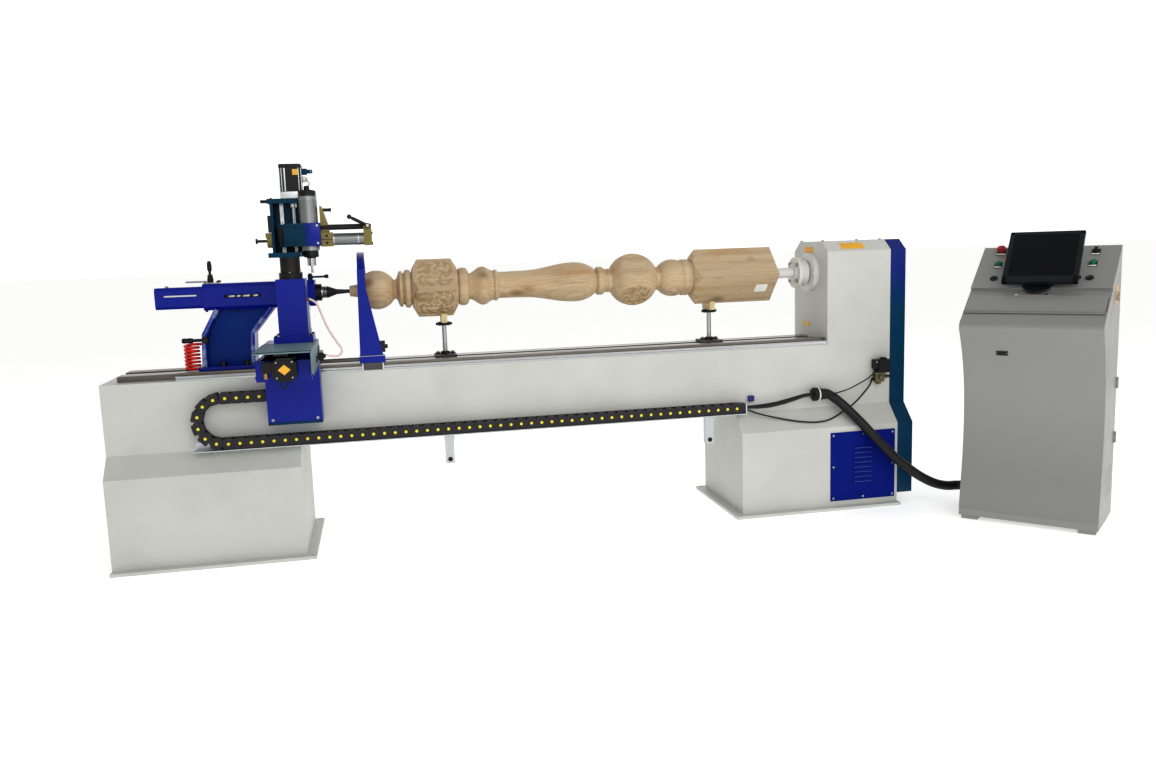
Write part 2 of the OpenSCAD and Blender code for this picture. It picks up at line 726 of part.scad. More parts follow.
// Apron plate that hides the chain's moving end
apron_front = -half_width - 105;
apron_back = -half_width - 15;
chain_y = -half_width - 8 - chain_width / 2;
tray_top = bed_bottom + 7;
chain_low_z = tray_top + 1 + link_height / 2;
chain_high_z = chain_low_z + 2 * bend_radius;
bend_x = saddle_mid - 315;
chain_fixed_x = 1040;
chain_moving_x = saddle_mid - 54;
module apron() color("mediumblue") {
    low = saddle_low - apron_drop;
    plate = 10;
    box([saddle_left - 12, apron_front, low], [saddle_right + 6, apron_front + plate, saddle_low]);
    box([saddle_right - 4, apron_front, low], [saddle_right + 6, apron_back, saddle_low]);
    box([saddle_left - 12, apron_front, low], [saddle_right + 6, apron_back, low + plate]);
    // Bracket that holds the chain's moving end
    box([chain_moving_x, chain_y - chain_width / 2, chain_high_z - link_height / 2],
        [chain_moving_x + 12, chain_y + chain_width / 2, saddle_low]);
    box([chain_moving_x, apron_front, chain_high_z], [chain_moving_x + 12, chain_y, saddle_low]);
}

// Ring steady, open below so that it passes over the work supports
module steady_frame() color("mediumblue") {
    ring_outer = steady_bore + steady_band;
    left = steady_mid - steady_thick / 2;
    open_half = 80;
    base_low = saddle_low;
    base_top = saddle_low + 30;
    base_left_x = steady_mid - 28;
    base_right_x = steady_mid + 84;
    leg_back = -steady_bore - 14;
    leg_front = -ring_outer - 22;
    difference() {
        union() {
            rod_x(left, steady_thick, ring_outer, 0, axis_z);
            box([left, leg_front + 8, base_top - 2], [left + steady_thick, leg_back, axis_z]);
        }
        rod_x(left - 1, steady_thick + 2, steady_bore, 0, axis_z);
        box([left - 1, -open_half, axis_z - ring_outer - 40], [left + steady_thick + 1, open_half, axis_z]);
        box([left - 1, open_half - 1, axis_z - ring_outer - 1], [left + steady_thick + 1, ring_outer + 1,
            axis_z - 60]);
    }
    along_y(leg_front, leg_back - leg_front - 12) polygon([[base_left_x + 3, base_top],
        [base_right_x - 8, base_top], [steady_mid + 18, axis_z + 13], [left + steady_thick, axis_z + 100],
        [left, axis_z + 100]]);
    box([base_left_x, leg_front - 4, base_low], [base_right_x, leg_back + 4, base_top]);
    guide_block(steady_mid - 14, 84);
    // Tie bar from the saddle, and a small clamp block on the leg
    rod_x(saddle_right, base_left_x - saddle_right, 9, rail_mid, saddle_low + 16);
    box([base_right_x - 20, leg_front + 8, base_top + 14], [base_right_x + 2, leg_back - 14, base_top + 64]);
}

// Feed drives
cross_motor_size = 92;
cross_motor_length = 54;
module feed_motors() color("dimgray") {
    h = cross_motor_size / 2;
    difference() {
        along_y(-saddle_front - cross_motor_length, cross_motor_length) translate([screw_x, screw_z])
            cut_square(cross_motor_size, 20);
        rod_y(-saddle_front - 30, 31, screw_radius + run_fit, screw_x, screw_z);
    }
    // Hanging ring under the cross motor
    difference() {
        rod_y(-saddle_front - cross_motor_length + 18, 8, 16, screw_x - 6, screw_z - h - 12);
        rod_y(-saddle_front - cross_motor_length + 17, 10, 11, screw_x - 6, screw_z - h - 12);
    }
    f = feed_motor_size / 2;
    difference() {
        box([pinion_x - f, rail_mid - 140, pinion_z - f], [pinion_x + f, rail_mid - 30, pinion_z + f]);
        rod_y(rail_mid - 60, 31, 7 + run_fit, pinion_x, pinion_z);
    }
}
module cross_screw() color("silver")
    rod_y(-saddle_front - 28, saddle_front - saddle_end - screw_back + 26, screw_radius, screw_x, screw_z);
module rack_pinion() color("gray") {
    rod_y(rail_mid - 58, rack_front + rack_width - rail_mid + 58, 7, pinion_x, pinion_z);
    rod_y(rack_front, rack_width, pinion_dia / 2, pinion_x, pinion_z);
}

// Cross slide with the column that carries the milling head
slide_low = saddle_top + seat_gap;
slide_high = slide_low + 42;
slide_front = column_gap + 155;
slide_back = column_gap - 40;
slide_half = saddle_width / 2 - 4;
foot_high = slide_high + 26;
column_x = saddle_mid + 22;
column_front = column_gap + column_depth;
column_top = axis_z + column_rise;
column_wall = 12;
nut_low = screw_z - 14;
nut_half = 15;
module column() color("mediumblue") {
    cx = column_width / 2;
    nut_front = -slide_back - 80;
    difference() {
        union() {
            box([saddle_mid - slide_half, -slide_front, slide_low], [saddle_mid + slide_half, -slide_back,
                slide_high]);
            box([column_x - cx - 22, -column_front - 18, slide_high], [column_x + cx + 18, -column_gap + 18,
                foot_high]);
            box([column_x - cx, -column_front, foot_high], [column_x + cx, -column_gap, column_top]);
            box([screw_x - nut_half, nut_front, nut_low], [screw_x + nut_half, nut_front + 40, slide_low]);
        }
        box([column_x - cx + column_wall, -column_front + column_wall, slide_low - 1],
            [column_x + cx - column_wall, -column_gap - column_wall, column_top - column_wall]);
        rod_y(nut_front - 1, 42, screw_radius + run_fit, screw_x, screw_z);
    }
}
hood_plate = 3;
hood_right = saddle_right + 8;
module slide_hood() color("slategray") {
    hood_front = -saddle_front - cross_motor_length - 12;
    hood_top = slide_high - 1;
    box([saddle_left, hood_front, hood_top - hood_plate], [hood_right, -slide_front, hood_top]);
    box([hood_right - hood_plate, hood_front, saddle_low + 26], [hood_right, -slide_back - 30, hood_top]);
    box([saddle_mid + slide_half, -slide_front, hood_top - hood_plate],
        [hood_right, -slide_back - 30, hood_top]);
}

// Milling head, stated from the column's middle
swivel_y = -column_gap - column_depth / 2;
swivel_low = 26;
swivel_high = 90;
frame_low = column_top + swivel_high;
frame_top = frame_low + frame_height;
frame_plate = 20;
frame_left = column_x - 80;
frame_right = column_x + 39;
frame_back = -column_gap + 196;
frame_side = frame_back - 106;
frame_lock_y = frame_back - 70;
back_plate = 14;
z_screw_x = column_x + 14;
z_screw_y = frame_back - 58;
mill_x = column_x + 82;
mill_y = z_screw_y - 88;
mill_low = axis_z + 189;
clamp_low = axis_z + 207;
clamp_height = 97;
z_rail = 16;
z_rail_deep = 14;
z_motor_size = 90;
z_motor_length = 146;
module z_frame() color("teal") {
    // Swivel flange and stub on the column
    rod_z(column_top, swivel_low, 48, column_x, swivel_y);
    rod_z(column_top + swivel_low, swivel_high - swivel_low, 41, column_x, swivel_y);
    // Bottom plate, back plate, left flange and top plate
    box([frame_left, swivel_y - 45, frame_low], [frame_right, frame_back, frame_low + frame_plate]);
    box([frame_left, frame_back - back_plate, frame_low], [column_x + 69, frame_back, frame_top]);
    box([frame_left, frame_side, frame_low], [frame_left + 12, frame_back, frame_top]);
    difference() {
        box([frame_left - 11, frame_side, frame_top], [column_x + 64, frame_back, frame_top + frame_plate]);
        rod_z(frame_top - 1, frame_plate + 2, 12, z_screw_x, z_screw_y);
    }
    for (x = [frame_left + 34, frame_left + 128])
        box([x, frame_back - back_plate - z_rail_deep, frame_low + frame_plate], [x + z_rail,
            frame_back - back_plate, frame_top]);
    // Lock screws on the left side
    rod_x(frame_left - 40, 41, 7, frame_lock_y, frame_top + 10);
    rod_x(frame_left - 22, 22, 30, frame_lock_y, frame_low + 72);
    rod_x(frame_left - 68, 47, 6, frame_lock_y, frame_low + 72);
    box([frame_left - 26, frame_back - 100, frame_low + 84], [frame_left, frame_back - 40, frame_low + 106]);
}
module z_motor() color("black") {
    h = z_motor_size / 2;
    difference() {
        translate([z_screw_x, z_screw_y, frame_top + frame_plate]) linear_extrude(z_motor_length)
            cut_square(z_motor_size, 10);
        rod_z(frame_top + frame_plate - 1, 32, screw_radius + run_fit, z_screw_x, z_screw_y);
    }
    box([z_screw_x + h, z_screw_y - 14, frame_top + frame_plate + 106], [z_screw_x + h + 22, z_screw_y + 14,
        frame_top + frame_plate + 124]);
}
module z_screw() color("silver") {
    rod_z(frame_low + frame_plate + seat_gap, frame_height + 26, screw_radius, z_screw_x, z_screw_y);
    rod_z(frame_top - 16, 12, 12, z_screw_x, z_screw_y);
}
module spindle_clamp() color("teal") {
    front = mill_y - mill_dia / 2 - 5;
    nut_front = z_screw_y - 37;
    nut_back = frame_back - back_plate - z_rail_deep - seat_gap;
    clamp_top = clamp_low + clamp_height;
    difference() {
        union() {
            box([column_x - 21, front, clamp_low], [mill_x + mill_dia / 2 + 8, nut_front + 1, clamp_top]);
            box([frame_left + 30, nut_front, clamp_low], [column_x + 69, nut_back, clamp_top]);
        }
        rod_z(clamp_low - 1, clamp_height + 2, mill_dia / 2 + run_fit, mill_x, mill_y);
        rod_z(clamp_low - 1, clamp_height + 2, screw_radius + run_fit, z_screw_x, z_screw_y);
    }
}
cutter_bore = 9;
module milling_spindle() color("lightgray") {
    difference() {
        union() {
            rod_z(mill_low, mill_length, mill_dia / 2, mill_x, mill_y);
            rod_z(mill_low + mill_length, 22, mill_dia / 2 - 2, mill_x, mill_y);
            rod_z(mill_low - 26, 26, 32, mill_x, mill_y);
        }
        rod_z(mill_low - 27, 92, cutter_bore + run_fit, mill_x, mill_y);
    }
}
module cutter() color("silver") {
    rod_z(mill_low - 26 - seat_gap, 60, cutter_bore, mill_x, mill_y);
    rod_z(mill_low - 66, 40 - seat_gap, 19, mill_x, mill_y);
    rod_z(mill_low - 96, 31, cutter_dia / 2, mill_x, mill_y);
}
// Horizontal side spindle on the clamp's right face
side_start = mill_x + mill_dia / 2 + 8;
side_end = side_start + 214;
side_lever_x = side_end - 16;
side_lever_z = clamp_low + 80;
module side_spindle() color("olive") {
    plate_low = clamp_low + 2;
    plate_high = plate_low + 166;
    along_y(mill_y - 8, 16) polygon([[side_start, plate_low], [side_start + 40, plate_low],
        [side_start + 36, plate_low + 80], [side_start + 10, plate_high], [side_start, plate_high]]);
    rod_x(side_start, side_end - side_start - 22, 12, mill_y, clamp_low + 78);
    rod_x(side_start, side_end - side_start - 10, 26, mill_y, clamp_low + 26);
    box([side_start, mill_y - 32, plate_low - 6], [side_start + 50, mill_y + 32, plate_low + 54]);
    box([side_end - 34, mill_y - 28, clamp_low - 4], [side_end, mill_y + 28, clamp_low + 88]);
    rod_x(side_start + 10, 34, 7, mill_y, plate_low + 150);
}
module side_lever() color("black") {
    hub_y = mill_y - 28 - seat_gap - 14;
    rod_y(hub_y, 14, 11, side_lever_x, side_lever_z);
    translate([side_lever_x, hub_y + 2, side_lever_z]) rotate([0, -62, 0]) box([-5, 0, 0], [5, 10, 90]);
}

// Energy chain
module chain_links(start, length, z) {
    count = floor(length / link_pitch);
    side = link_pitch - 8;
    box([start, chain_y - chain_width / 2 + 5, z - link_height / 2 + 6], [start + length,
        chain_y + chain_width / 2 - 5, z + link_height / 2 - 6]);
    for (i = [0 : count - 1])
        box([start + 4 + i * link_pitch, chain_y - chain_width / 2, z - link_height / 2],
            [start + 4 + i * link_pitch + side, chain_y + chain_width / 2, z + link_height / 2]);
}
module chain_lower_run() color("darkslategray")
    chain_links(bend_x, chain_fixed_x - bend_x, chain_low_z);
module chain_upper_run() color("darkslategray")
    chain_links(bend_x, chain_moving_x - bend_x, chain_high_z);
// A quarter of the chain's bend, below or above its middle
module chain_quarter(low_z, high_z) {
    reach = bend_radius + link_height / 2;
    inner = bend_radius - link_height / 2;
    mid_z = (chain_low_z + chain_high_z) / 2;
    intersection() {
        difference() {
            rod_y(chain_y - chain_width / 2, chain_width, reach, bend_x, mid_z);
            rod_y(chain_y - chain_width / 2 - 1, chain_width + 2, inner, bend_x, mid_z);
        }
        box([bend_x - reach - 1, chain_y - chain_width, low_z], [bend_x, chain_y + chain_width, high_z]);
    }
}
module chain_bend_lower() color("darkslategray")
    chain_quarter(chain_low_z - link_height, (chain_low_z + chain_high_z) / 2 - 0.2);
module chain_bend_upper() color("darkslategray")
    chain_quarter((chain_low_z + chain_high_z) / 2 + 0.2, chain_high_z + link_height);

tray_start = bend_x - 120;
tray_end = chain_fixed_x + 8;
tray_sheet = 4;
tray_lip = 30;
tray_low = tray_top - tray_sheet;
tray_legs = [-383, 850];
leg_size = 38;
leg_length = 134;
module chain_tray() color("lightgray") {
    chain_front = chain_y - chain_width / 2;
    box([tray_start, chain_front - 6, tray_low], [tray_end, -half_width, tray_top]);
    box([tray_start, -half_width - 3, tray_low], [tray_end, -half_width, tray_top + tray_lip]);
    box([chain_fixed_x, chain_front, tray_top], [chain_fixed_x + 6, chain_front + chain_width,
        tray_top + link_height]);
    for (x = tray_legs) box([x, -half_width - leg_size + 4, tray_low - leg_length], [x + leg_size,
        -half_width + 4, min(tray_low, bed_bottom)]);
}

// Cable gland with its bracket, the air valve and a small connector on the bed's front
gland_x = 1396;
gland_y = -226;
gland_z = 565;
gland_length = 32;
gland_radius = 32;
gland_bracket = 16;
valve_x = 1726;
valve_low = 606;
valve_body = [44, 36, 46];
valve_head = [60, 50, 64];
valve_offset = 10;
connector_x = 1074;
connector_low = 548;
connector_size = [26, 20, 26];
module gland_and_valve() color("black") {
    rod_x(gland_x, gland_length, gland_radius, gland_y, gland_z);
    box([gland_x + 6, gland_y, gland_z - 20], [gland_x + 6 + gland_bracket, -half_width, gland_z + 20]);
    translate([valve_x, -half_width - valve_body[1], valve_low]) cube(valve_body);
    translate([valve_x + valve_offset, -half_width - valve_head[1], valve_low + valve_body[2]])
        cube(valve_head);
    translate([connector_x, -half_width - connector_size[1], connector_low]) cube(connector_size);
}

// A tube swept through a list of points; its heading never runs along the given level axis
function unit(v) = v / norm(v);
function tube_ring(centre, heading, radius, sides, level) =
    let (side = unit(cross(heading, level)), up = unit(cross(side, heading)))
    [for (k = [0 : sides - 1]) centre + radius * (cos(360 * k / sides) * side + sin(360 * k / sides) * up)];
function headings(route) = [for (i = [0 : len(route) - 1])
    i == 0 ? unit(route[1] - route[0]) : i == len(route) - 1 ? unit(route[i] - route[i - 1])
        : unit(unit(route[i + 1] - route[i]) + unit(route[i] - route[i - 1]))];
module tube(route, diameter, sides, level = [0, 1, 0]) {
    way = headings(route);
    last = len(route) - 1;
    rings = [for (i = [0 : last]) each tube_ring(route[i], way[i], diameter / 2, sides, level)];
    skin = [for (i = [0 : last - 1], k = [0 : sides - 1])
        let (a = i * sides, b = a + sides, n = (k + 1) % sides)
            each [[a + k, b + k, a + n], [a + n, b + k, b + n]]];
    caps = [[for (k = [0 : sides - 1]) k], [for (k = [sides - 1 : -1 : 0]) last * sides + k]];
    polyhedron(rings, concat(skin, caps));
}
hose_dia = 45;
hose_route = [[1428, -226, 565], [1466, -226, 565], [1506, -232, 540], [1542, -250, 506], [1576, -276, 466],
    [1610, -302, 424], [1648, -324, 376], [1690, -338, 328], [1732, -346, 282], [1778, -356, 236],
    [1830, -370, 192], [1888, -384, 150], [1950, -392, 118], [2015, -390, 100], [2066, -392, 98],
    [2088, -409, 100], [2119.5, -443.5, 100]];
lead_dia = 12;
lead_one = [[1046, -214, 524], [1072, -214, 524], [1104, -214, 525], [1138, -214, 527], [1172, -214, 530],
    [1206, -214, 534], [1240, -214, 540], [1274, -214, 547], [1308, -214, 554], [1340, -214, 561],
    [1368, -214, 565], [1396, -214, 565]];
lead_two = [[1046, -238, 524], [1072, -238, 524], [1104, -238, 522], [1138, -238, 522], [1172, -238, 524],
    [1206, -238, 529], [1240, -238, 535], [1274, -238, 543], [1308, -238, 552], [1340, -238, 561],
    [1368, -238, 565], [1396, -238, 565]];
valve_lead_dia = 8;
valve_lead = [[1046, -226, 508], [1068, -226, 508], [1100, -232, 494], [1140, -236, 482], [1190, -236, 468],
    [1240, -240, 456], [1300, -250, 444], [1360, -256, 436], [1410, -258, 434], [1460, -254, 439],
    [1510, -240, 453], [1560, -228, 476], [1610, -228, 508], [1660, -226, 554], [1700, -216, 594],
    [1714, -206, 618], [1726, -206, 618]];
thin_lead_dia = 6;
thin_lead = [[1428, -253, 565], [1442, -253, 565], [1480, -257, 567], [1530, -252, 574], [1580, -244, 586],
    [1630, -234, 604], [1680, -224, 624], [1710, -214, 640], [1726, -214, 640]];
air_dia = 9;
air_route = [[-934, -290, 1130], [-922, -290, 1130], [-896, -287, 1108], [-879, -280, 1058],
    [-857, -270, 998], [-829, -262, 945], [-808, -256, 908], [-818, -254, 882], [-848, -256, 880],
    [-876, -258, 887], [-892, -258, 892], [hood_right, -258, 892]];
module console_hose() color("black") tube(hose_route, hose_dia, 12);
module machine_leads() color("black") {
    tube(lead_one, lead_dia, 8);
    tube(lead_two, lead_dia, 8);
    tube(valve_lead, valve_lead_dia, 8);
    tube(thin_lead, thin_lead_dia, 8);
}
module spindle_air_hose() color("black") tube(air_route, air_dia, 8);

// Coiled air line, one tube: straight end, helix, straight end
coil_radius = 29;
coil_dia = 12;
coil_pitch = 16;
coil_turns = 6.5;
coil_steps = 24;
coil_x = base_left - 39;
coil_y = -20;
coil_low = way_top + 10;
coil_top = coil_low + coil_pitch * coil_turns;
rib_foot_z = way_top + base_thick - 1;
rib_face_x = base_left + 6 + 8 * (coil_top - rib_foot_z) / (axis_z - 164 - rib_foot_z);
coil_helix = [for (i = [0 : coil_turns * coil_steps]) let (a = -90 - 360 * i / coil_steps)
    [coil_x + coil_radius * cos(a), coil_y + coil_radius * sin(a), coil_low + coil_pitch * i / coil_steps]];
coil_route = concat(
    [[base_left, coil_y - coil_radius, coil_low], [base_left - coil_dia, coil_y - coil_radius, coil_low]],
    coil_helix, [[rib_face_x - coil_dia, coil_y + coil_radius, coil_top],
        [rib_face_x - seat_gap, coil_y + coil_radius, coil_top]]);
echo(least_gap_between_coil_turns = coil_pitch - coil_dia);
module air_coil() color("red") tube(coil_route, coil_dia, 6, [0, 0, 1]);

// Control console, in its own frame: x along its front, y back, z up
console_x = 1950;
console_y = -599;
foot_height = 18;
nose_radius = 30;
nose_y = -34;
panel_step = 12;
panel_start_y = nose_y - nose_radius * sin(panel_angle);
panel_start_z = nose_height + nose_radius * cos(panel_angle);
panel_rise = tan(panel_angle);
step_y = 126;
step_z = panel_start_z + (step_y - panel_start_y) * panel_rise;
upper_y = step_y - panel_step * sin(panel_angle);
upper_z = step_z + panel_step * cos(panel_angle);
console_top = upper_z + (console_depth - upper_y) * panel_rise;
module at_console() translate([console_x, console_y, 0]) rotate([0, 0, -console_turn]) children();
// Place a child on the sloped panel: distance along the front, up the slope, above the lower panel
module on_panel(s, p, n) at_console() translate([s, panel_start_y, panel_start_z]) rotate([panel_angle, 0, 0])
    translate([0, p, n]) children();
// Distance up the slope of a point on the upper panel above a given depth
function slope_at(y) = (y - panel_start_y + panel_step * sin(panel_angle)) / cos(panel_angle);
module console_profile() polygon(concat([[console_depth, foot_height], [console_depth, console_top],
    [upper_y, upper_z], [step_y, step_z]],
    [for (a = [90 + panel_angle : 18 : 216])
        [nose_y + nose_radius * cos(a), nose_height + nose_radius * sin(a)]],
    [[-40, 850], [-12, 795], [14, 730], [34, 660], [46, 590], [52, 510], [52, 420], [46, 330], [36, 250],
    [20, 160], [6, 80], [0, 50], [0, foot_height]]));
door_low = 62;
door_front = 82;
door_back = 344;
door_gap = 1;
door_shape_top = 935;
door_top_gap = 3.5;
module door_outline(gap, top_gap) {
    top = (door_back - door_front) * panel_rise;
    polygon([[door_front - gap, door_low - gap], [door_back + gap, door_low - gap],
        [door_back + gap, door_shape_top + top + top_gap], [door_front - gap, door_shape_top + top_gap]]);
}
// Door hinges on the back edge, from their lower ends
hinge_radius = 5;
hinge_s = console_width + hinge_radius + seat_gap;
hinge_y = door_back + 3;
hinge_length = 50;
hinge_places = [350, 600];
knuckle = 13;
leaf_thick = 2;
// Hinge of the keyboard lid along its front edge, as distance up the panel and above it
lid_hinge_p = 59;
lid_hinge_n = 3.6;
lid_hinge_radius = 3;
lid_bracket = 5;
lid_side = 8;
lid_start = 62;
lid_length = 105;
lid_thick = 12;
hose_inlet_y = 230;
hose_inlet_z = 100;
hose_inlet_radius = 16;
button_hole = 11;
hole_play = 0.4;
socket_bore = 9;
socket_radius = 15;
estop_place = [82, 336];
start_place = [87, 255];
selector_place = [console_width - 99, 326];
run_place = [console_width - 99, 257];
socket_places = [[87, 174], [console_width - 148, 176], [console_width - 98, 174]];
shelf_low = -48;
shelf_thick = 3;
plinth_inset = 10;
module console_cabinet() color("darkgray") {
    difference() {
        at_console() union() {
            difference() {
                along_x(0, console_width) console_profile();
                along_x(console_wall, console_width - 2 * console_wall) offset(delta = -console_wall)
                    console_profile();
                along_x(console_width - console_wall - 1, console_wall + 2) door_outline(door_gap, door_gap);
                rod_x(-1, console_wall + 2, hose_inlet_radius, hose_inlet_y, hose_inlet_z);
            }
            for (x = [plinth_inset, console_width - plinth_inset - 70], y = [8, console_depth - 60])
                box([x, y, 0], [x + 70, y + 50, foot_height]);
            // Fixed halves of the door hinges
            for (z = hinge_places) {
                box([console_width - 1, hinge_y + 5.5, z], [console_width + leaf_thick, console_depth, z
                    + hinge_length]);
                for (low = [z, z + hinge_length - knuckle]) {
                    rod_z(low, knuckle, hinge_radius, hinge_s, hinge_y);
                    box([console_width - 1, hinge_y, low], [console_width + 4, hinge_y + 7, low + knuckle]);
                }
            }
            // Bare plate on the sloping front
            translate([172, -7, 782]) rotate([21.8, 0, 0]) box([-24, -3, -10], [24, 2, 10]);
        }
        on_panel(0, 0, 0) box([lid_side + 6, lid_start + 6, -8], [console_width - lid_side - 6,
            lid_start + lid_length - 6, 4]);
        for (place = [estop_place, start_place, selector_place, run_place])
            on_panel(place[0], slope_at(place[1]), 0) rod_z(0, 20, button_hole + hole_play);
        for (place = socket_places) on_panel(place[0], slope_at(place[1]), 0) rod_z(0, 20, socket_bore);
    }
    // Keyboard shelf below the lid
    on_panel(0, 0, 0) box([console_wall - 1, lid_start, shelf_low], [console_width - console_wall + 1,
        lid_start + lid_length, shelf_low + shelf_thick]);
    for (place = socket_places) on_panel(place[0], slope_at(place[1]), panel_step) difference() {
        rod_z(0, 4, socket_radius);
        rod_z(-1, 6, socket_bore);
    }
    // End blocks of the lid's hinge
    for (s = [lid_side - seat_gap - lid_bracket, console_width - lid_side + seat_gap])
        on_panel(s, lid_hinge_p, -1) box([0, -5, 0], [lid_bracket, 5, lid_hinge_n + 6]);
}
vent_radius = 4;
vent_pitch = 20;
vent_columns = 9;
vent_rows = 7;
lock_y = 245;
lock_z = 1015;
module console_door() color("darkgray") at_console() {
    difference() {
        along_x(console_width - console_wall, console_wall) door_outline(0, door_gap - door_top_gap);
        for (i = [0 : vent_columns - 1], k = [0 : vent_rows - 1])
            rod_x(console_width - console_wall - 1, console_wall + 2, vent_radius,
                door_back - 34 - i * vent_pitch, door_low + 70 + k * vent_pitch);
    }
    for (z = hinge_places) {
        low = z + knuckle + seat_gap;
        high = z + hinge_length - knuckle - seat_gap;
        rod_z(low, high - low, hinge_radius, hinge_s, hinge_y);
        box([console_width - 1, door_back - 22, z], [console_width + leaf_thick, door_back - 3,
            z + hinge_length]);
        box([console_width + seat_gap, door_back - 4, low], [console_width + 4, hinge_y, high]);
    }
    rod_x(console_width, 6, 12, lock_y, lock_z);
    box([console_width + 6, lock_y - 6, lock_z - 15], [console_width + 12, lock_y + 6, lock_z + 25]);
}
lid_grip_side = 228;
lid_grip = [6, 4];
module keyboard_lid() color("darkgray") on_panel(0, 0, 0) {
    lid_end = lid_start + lid_length;
    box([lid_side, lid_start, seat_gap], [console_width - lid_side, lid_end, lid_thick]);
    rod_x(lid_side, console_width - 2 * lid_side, lid_hinge_radius, lid_hinge_p, lid_hinge_n);
    box([lid_side, lid_hinge_p, lid_hinge_n - 1], [console_width - lid_side, lid_start + 1,
        lid_hinge_n + lid_hinge_radius]);
    box([lid_grip_side, lid_end - lid_grip[0], lid_thick],
        [console_width - lid_grip_side, lid_end, lid_thick + lid_grip[1]]);
}
// Mounting plate inside the console, with three drives, a supply and the switchgear block
board_side = 60;
board_low = 120;
board_high = 980;
board_stand = 20;
board_thick = 3;
drive_size = [100, 110, 200];
drive_places = [80, 200, 320];
drive_low = 560;
supply_size = [170, 80, 100];
supply_place = [90, 300];
switchgear_size = [200, 140, 260];
switchgear_place = [300, 200];
keyboard_size = [440, 80, 16];
key_pitch = [29, 24];
key_size = [22, 20, 5];
key_rows = 3;
key_columns = 15;
module at_plate(x, z, size)
    translate([x, console_depth - console_wall - board_stand - size[1], z]) cube(size);
module control_modules() color("gray") {
    at_console() {
        back = console_depth - console_wall;
        box([board_side, back - board_stand, board_low],
            [console_width - board_side, back - board_stand + board_thick, board_high]);
        for (x = [board_side + 20, console_width - board_side - 40],
            z = [board_low + 40, board_high - 60])
            box([x, back - board_stand + 2, z], [x + 20, back, z + 20]);
        for (x = drive_places) at_plate(x, drive_low, drive_size);
        at_plate(supply_place[0], supply_place[1], supply_size);
        at_plate(switchgear_place[0], switchgear_place[1], switchgear_size);
    }
    // Keyboard on its shelf
    on_panel((console_width - keyboard_size[0]) / 2, lid_start + 12, shelf_low + shelf_thick) {
        cube(keyboard_size);
        for (i = [0 : key_columns - 1], k = [0 : key_rows - 1])
            translate([8 + i * key_pitch[0], 6 + k * key_pitch[1], keyboard_size[2]]) cube(key_size);
    }
}
screen_mid = console_width / 2 + 4;
screen_tilt = 52;
screen_low_y = 80;
screen_low_z = 1093;
screen_thick = 22;
screen_back = 36;
pivot_up = 137;
pivot_back = 52;
module at_screen() at_console() translate([screen_mid, screen_low_y, screen_low_z])
    rotate([screen_tilt, 0, 0]) children();
stand_disc = 130;
stand_disc_thick = 5;
pin_radius = 4;
pivot_y = screen_low_y + pivot_up * cos(screen_tilt) + pivot_back * sin(screen_tilt);
pivot_z = screen_low_z + pivot_up * sin(screen_tilt) - pivot_back * cos(screen_tilt);
module monitor_stand() color("black") {
    on_panel(screen_mid - 13, slope_at(144), panel_step + seat_gap)
        rod_z(0, stand_disc_thick - seat_gap, stand_disc / 2);
    difference() {
        hull() {
            at_console() rod_x(screen_mid - 22, 44, 10, pivot_y, pivot_z);
            on_panel(screen_mid, slope_at(152), panel_step + stand_disc_thick) box([-22, -8, -2], [22, 8, 2]);
        }
        at_console() rod_x(screen_mid - 23, 46, pin_radius + run_fit, pivot_y, pivot_z);
    }
}
module monitor_screen() color("black") at_screen() {
    half = screen_width / 2;
    difference() {
        box([-half, 0, -screen_thick], [half, screen_height, 0]);
        box([-half + 20, 32, -3], [half - 20, screen_height - 18, 1]);
    }
    box([-half + 70, 50, -screen_back], [half - 70, screen_height - 50, -screen_thick]);
    for (x = [-40, 26]) box([x, pivot_up - 12, -pivot_back - 8], [x + 14, pivot_up + 12, -screen_back]);
    rod_x(-40, 80, pin_radius, pivot_up, -pivot_back);
}

// Operator's controls on the upper panel
button_stem = 24;
estop_travel = 5;
button_travel = 3;
module push_button(place, head_radius, head_length, travel) {
    lift = panel_step + travel + 2;
    on_panel(place[0], slope_at(place[1]), 0) {
        rod_z(lift - button_stem, button_stem, button_hole);
        rod_z(lift, head_length, head_radius);
    }
}
module estop_button() color("red") push_button(estop_place, 19, 16, estop_travel);
module start_button() color("green") push_button(start_place, 13, 9, button_travel);
module run_button() color("green") push_button(run_place, 13, 9, button_travel);
module selector_switch() color("black") on_panel(selector_place[0], slope_at(selector_place[1]), panel_step) {
    rod_z(-14, 14 + seat_gap, button_hole);
    rod_z(seat_gap, 5, 15);
    box([-5, -16, 5], [5, 16, 20]);
}

bed_beam();
left_pedestal();
right_pedestal();
bed_rails();
headstock_cabinet();
spindle_bearings();
bearing_cover();
end_belt_cover();
louvre_panel();
main_motor();
drive_belt();
chain_tray();
gland_and_valve();
chain_lower_run();
console_hose();
machine_leads();
console_cabinet();
console_door();
keyboard_lid();
control_modules();
monitor_stand();
main_spindle();
drive_center();
workpiece();
motor_pulley();
monitor_screen();
estop_button();
start_button();
run_button();
selector_switch();
saddle();
apron();
steady_frame();
slide_hood();
feed_motors();
cross_screw();
rack_pinion();
chain_upper_run();
chain_bend_lower();
chain_bend_upper();
column();
z_frame();
z_motor();
z_screw();
spindle_clamp();
milling_spindle();
cutter();
side_spindle();
side_lever();
tailstock_body();
quill();
live_center();
quill_lock_lever();
barrel_lever();
clamp_handle();
air_coil();
support_feet();
support_post_left();
support_post_right();
spindle_air_hose();
